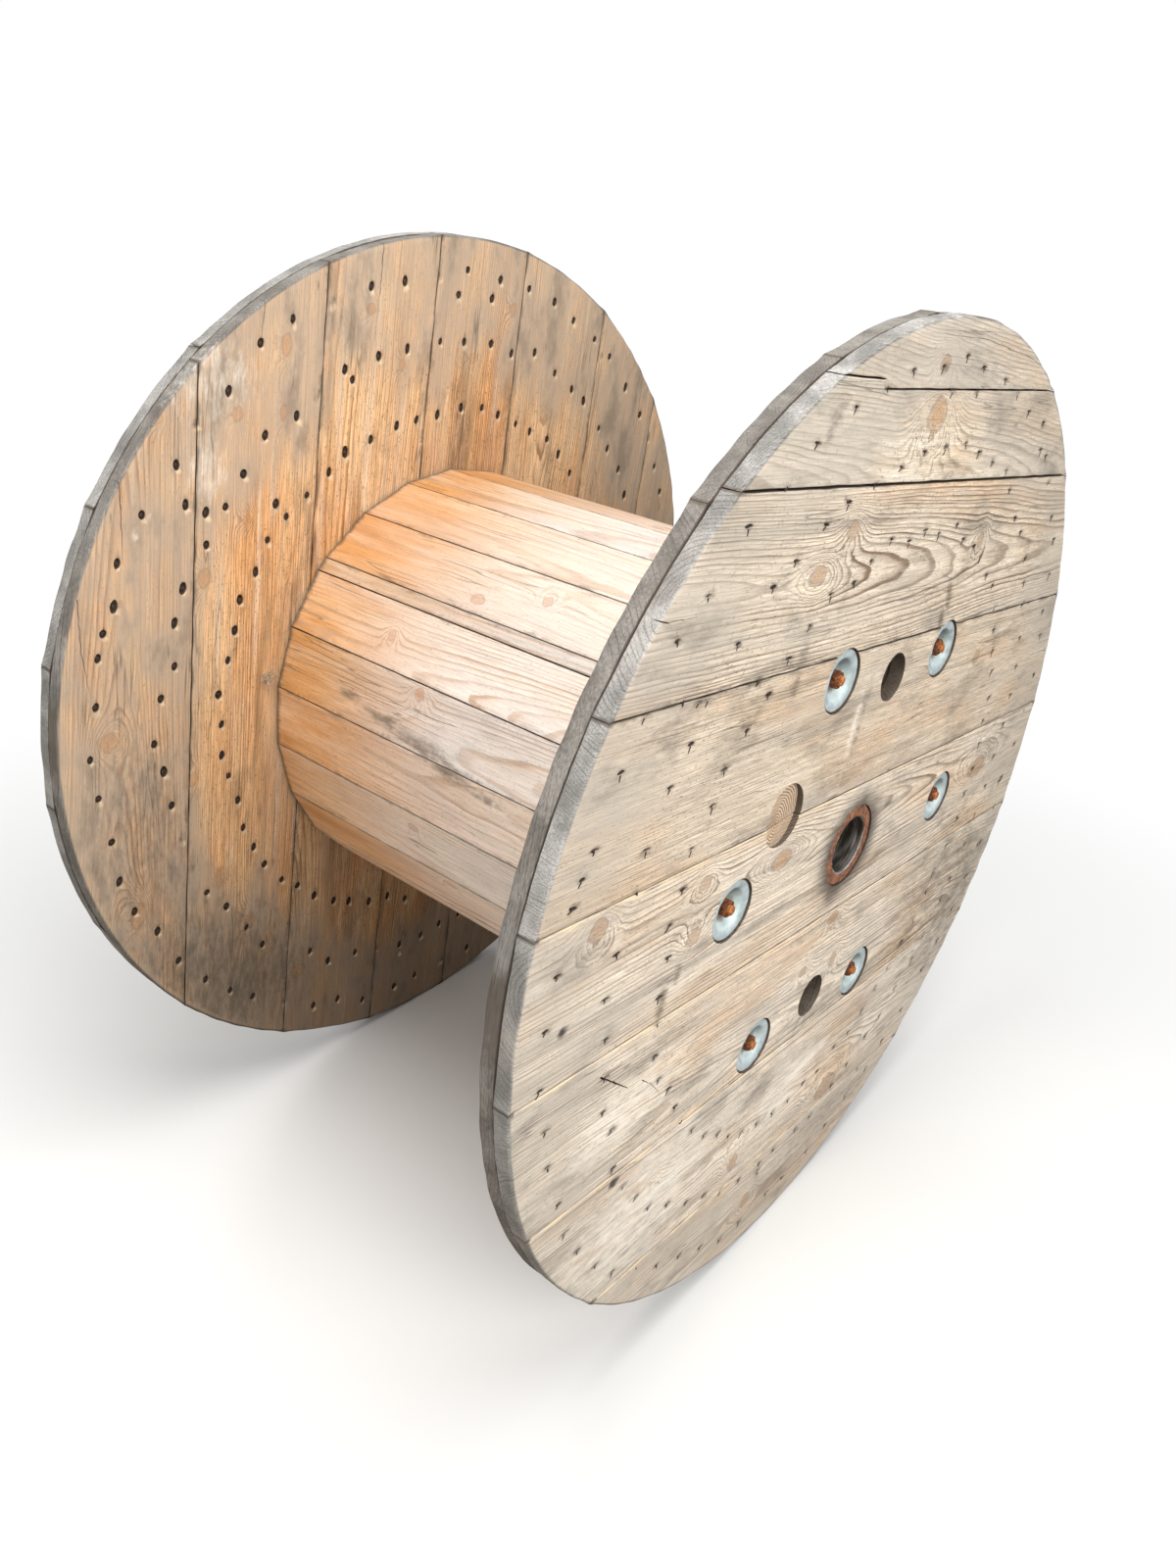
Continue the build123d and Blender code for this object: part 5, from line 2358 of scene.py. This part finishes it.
def front_flange() -> Flange:
    """The front flange, with the wear, knots and stains that show on its outer face, and painted light on its
    lower left and on some upper arrises.

    Returns:
        The flange, not yet built.
    """
    wear = {
        1: Wear(sink=0.4, tilt=-0.2, joint_round=1.6, trim=0.8),
        2: Wear(sink=0.5, tilt=-0.3, joint_round=1.8, trim=1.8, open_low=0.25),
        3: Wear(sink=0.6, tilt=-0.3, joint_round=1.8, trim=0.4, open_low=0.25),
        4: Wear(sink=0.7, tilt=-0.3, uneven=0.4, joint_round=1.8, trim=2.6, open_low=0.35),
        5: Wear(sink=0.8, tilt=0.3, uneven=0.4, joint_round=1.4, trim=0.9, open_low=0.6, open_high=0.5),
        6: Wear(sink=0.6, tilt=0.3, joint_round=1.4, trim=2.6, open_low=0.5, open_high=1.1),
        7: Wear(sink=0.5, tilt=0.2, joint_round=1.6, trim=0.2, open_low=1.0, open_high=0.6),
        8: Wear(sink=0.4, tilt=0.0, joint_round=1.4, trim=0.9, open_low=0.6),
    }
    knots = Knot.all(
        -HALF_WIDTH / MM,
        (-12, 648, 11, 0.5), (-5, 590, 22, 0.9), (-235, 440, 14, 0.8), (-170, 480, 12, 0.4),
        (230, 400, 10, 0.5), (-578, 140, 14, 0.5), (-380, 108, 10, 0.4), (330, 200, 11, 0.5),
        (-390, 38, 12, 0.4), (-200, 62, 18, 0.9), (465, -35, 24, 0.6), (-3, -120, 12, 0.9),
        (25, -210, 11, 0.4), (-70, -183, 9, 0.4), (-435, -330, 15, 0.9), (-185, -470, 13, 0.9),
        (110, -515, 25, 0.2), (-120, -600, 12, 0.5),
    )
    # Dark blots: dirt marks, and broad ones that darken the right side and the bottom of the face.
    blots = Blot.all(
        "grime",
        (-162, 420, 52, 12, 0.5, 82), (-240, 335, 60, 12, 0.5, 80), (-330, 300, 70, 30, 0.35, 75),
        (-470, 330, 90, 40, 0.4, 20), (-441, -28, 34, 13, 0.7, 85), (-415, 0, 22, 9, 0.6, 85),
        (87, 357, 40, 9, 0.35, -6), (160, 335, 30, 12, 0.8, -70), (150, 300, 20, 10, 0.7, -70),
        (-46, 215, 75, 7, 0.5, 80), (-262, 600, 34, 12, 0.5, 65), (-245, 618, 26, 9, 0.45, 50),
        (-145, -360, 60, 30, 0.6), (470, -300, 300, 190, 0.5, -40), (520, 20, 160, 90, 0.3, -8),
        (120, -600, 260, 70, 0.35),
    )
    # The two broad blots on the lower left are painted light that brightens that part of the face.
    blots += Blot.all(
        "bleach",
        (-65, 205, 80, 10, 0.55, 80), (0, -398, 90, 12, 0.8, 4), (-430, -370, 200, 130, 0.5),
        (-480, -160, 150, 60, 0.5), (-60, -400, 160, 90, 0.4),
    )
    blots += Blot.all("grease", (0, 0, 92, 86, 1.15), (10, 46, 52, 46, 0.8), (-18, -48, 54, 48, 0.8))
    blots += Blot.all("iron", (-495, -272, 10, 8, 1.2), (-622, 35, 8, 8, 1.2), (617, -118, 8, 8, 1.2))
    blots += Blot.all("fresh", (-565, -80, 105, 7, 0.55, 25))
    grains = {
        1: Grain(101, -0.62, 0.055, ring_pitch=4.2 * MM, contrast=0.7, tone=(0.93, 0.93, 0.94, 1)),
        2: Grain(102, -0.44, 0.045, ring_pitch=4.6 * MM, contrast=0.75, tone=(1.03, 1.05, 1.08, 1)),
        3: Grain(103, -0.26, 0.060, ring_pitch=4.4 * MM, contrast=0.75, tone=(1.04, 1.05, 1.06, 1)),
        4: Grain(104, 0.04, 0.050, ring_pitch=5.0 * MM, sway=20 * MM, contrast=0.9),
        5: Grain(105, 0.42, 0.040, ring_pitch=3.4 * MM, contrast=0.5, tone=(0.88, 0.86, 0.83, 1)),
        6: Grain(106, 0.40, 0.046, 0.05, 5.0 * MM, 24 * MM, contrast=1.1, tone=(0.93, 0.92, 0.90, 1)),
        7: Grain(107, 0.50, 0.085, ring_pitch=4.0 * MM, contrast=0.7, tone=(0.99, 0.99, 0.97, 1)),
        8: Grain(108, 0.60, 0.070, ring_pitch=3.6 * MM, contrast=0.7, tone=(0.95, 0.95, 0.95, 1)),
    }
    splits = (
        Split(((-548, -72), (-520, -98), (-490, -125), (-472, -128), (-455, -132)), 2.6, 9, 1),
        Split(((-462, -131), (-440, -152), (-415, -185)), 1.6, 6, 2),
        Split(((-560, 470), (-520, 452), (-470, 446)), 1.8, 12, 3),
        Split(((690, 120), (640, 128), (600, 131)), 1.4, 9, 4),
        Split(((-38, -262), (-52, -280), (-62, -300)), 6.0, 5, 11),
        Split(((-22, -270), (-32, -288), (-36, -306)), 4.0, 4, 12),
    )
    return Flange(
        Side.FRONT,
        8,
        outer_wear=wear,
        knots={Ply.OUTER: knots},
        blots={Ply.OUTER: blots},
        grains={Ply.OUTER: grains},
        splits={Ply.OUTER: splits},
        highlit_arrises_below=200 * MM,
    )


def rear_flange() -> Flange:
    """The rear flange, with the splits, knots and dirt that show on its inner face, and painted shade low on
    that face.

    Returns:
        The flange, not yet built.
    """
    knots = Knot.all(
        INNER_FACE / MM,
        (-385, 475, 9, 0.9), (-300, 560, 11, 0.8), (-310, 470, 8, 0.6), (-622, 60, 13, 0.5),
        (-610, -230, 16, 0.3), (-500, -40, 9, 0.8), (-455, 260, 12, 0.9), (-380, 330, 7, 0.8),
        (-505, 480, 7, 0.5), (-150, 600, 8, 0.6), (60, 520, 8, 0.6), (150, 590, 9, 0.5),
        (-420, -330, 12, 0.6), (-330, -480, 13, 0.5), (-90, 520, 7, 0.5),
    )
    splits = (
        Split(((-566, 425), (-569, 370), (-574, 300)), 1.8, 16, 5),
        Split(((-331, 622), (-337, 590), (-345, 550)), 1.7, 16, 6),
        Split(((-124, 694), (-134, 620), (-146, 548)), 2.0, 16, 7),
        Split(((-641, 268), (-645, 200), (-640, 130)), 1.5, 12, 8),
        Split(((205, 672), (198, 610), (196, 560)), 1.4, 12, 9),
    )
    # The two broad blots low on the left are dirt and painted shade that darken the lower part of the face.
    blots = Blot.all(
        "grime",
        (-470, -400, 230, 140, 0.6, -45), (-590, -120, 90, 240, 0.42), (-300, 120, 50, 300, 0.22),
        (-200, 585, 60, 60, 0.3),
    )
    blots += Blot.all(
        "bleach",
        (-552, 336, 8, 5, 0.9, 60), (-531, 356, 6, 4, 0.9, 30), (-420, 520, 90, 60, 0.35),
        (-440, 405, 40, 50, 0.4),
    )
    grains = {
        1: Grain(201, -0.61, 0.036, 0.06, 4.6 * MM, contrast=1.3, tone=(1.0, 0.93, 0.86, 1)),
        2: Grain(202, -0.7, 0.05, ring_pitch=4.0 * MM, contrast=0.8, tone=(1.0, 0.98, 0.96, 1)),
        3: Grain(203, -0.3, 0.07, ring_pitch=4.2 * MM, contrast=0.75, tone=(1.02, 1.0, 0.98, 1)),
        4: Grain(204, -0.3, 0.06, ring_pitch=4.0 * MM, contrast=1.2, tone=(0.98, 0.93, 0.88, 1)),
    }
    return Flange(
        Side.REAR,
        7,
        knots={Ply.INNER: knots},
        blots={Ply.INNER: blots},
        grains={Ply.INNER: grains},
        splits={Ply.INNER: splits},
    )


def dress_former() -> None:
    """Gives the hidden former segments the timber of the inner planks."""
    board = flange_board(Side.FRONT, Ply.INNER)
    timber = INNER_FINISH.dress("former_timber", board, Grain(901, ring_pitch=5 * MM))
    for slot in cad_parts["former_segments"].material_slots:
        slot.material = timber


def main() -> None:
    """Builds the drum, piece by piece, and the studio round it."""
    logging.basicConfig(level=logging.INFO, format="%(name)s: %(message)s")
    Studio().build()
    front_flange().build()
    rear_flange().build()
    Barrel().build()
    for side in Side:
        Bush(side).build()
    TieRodEnds().build()
    FibreTuft().build()
    dress_former()


if __name__ == "__main__":
    main()
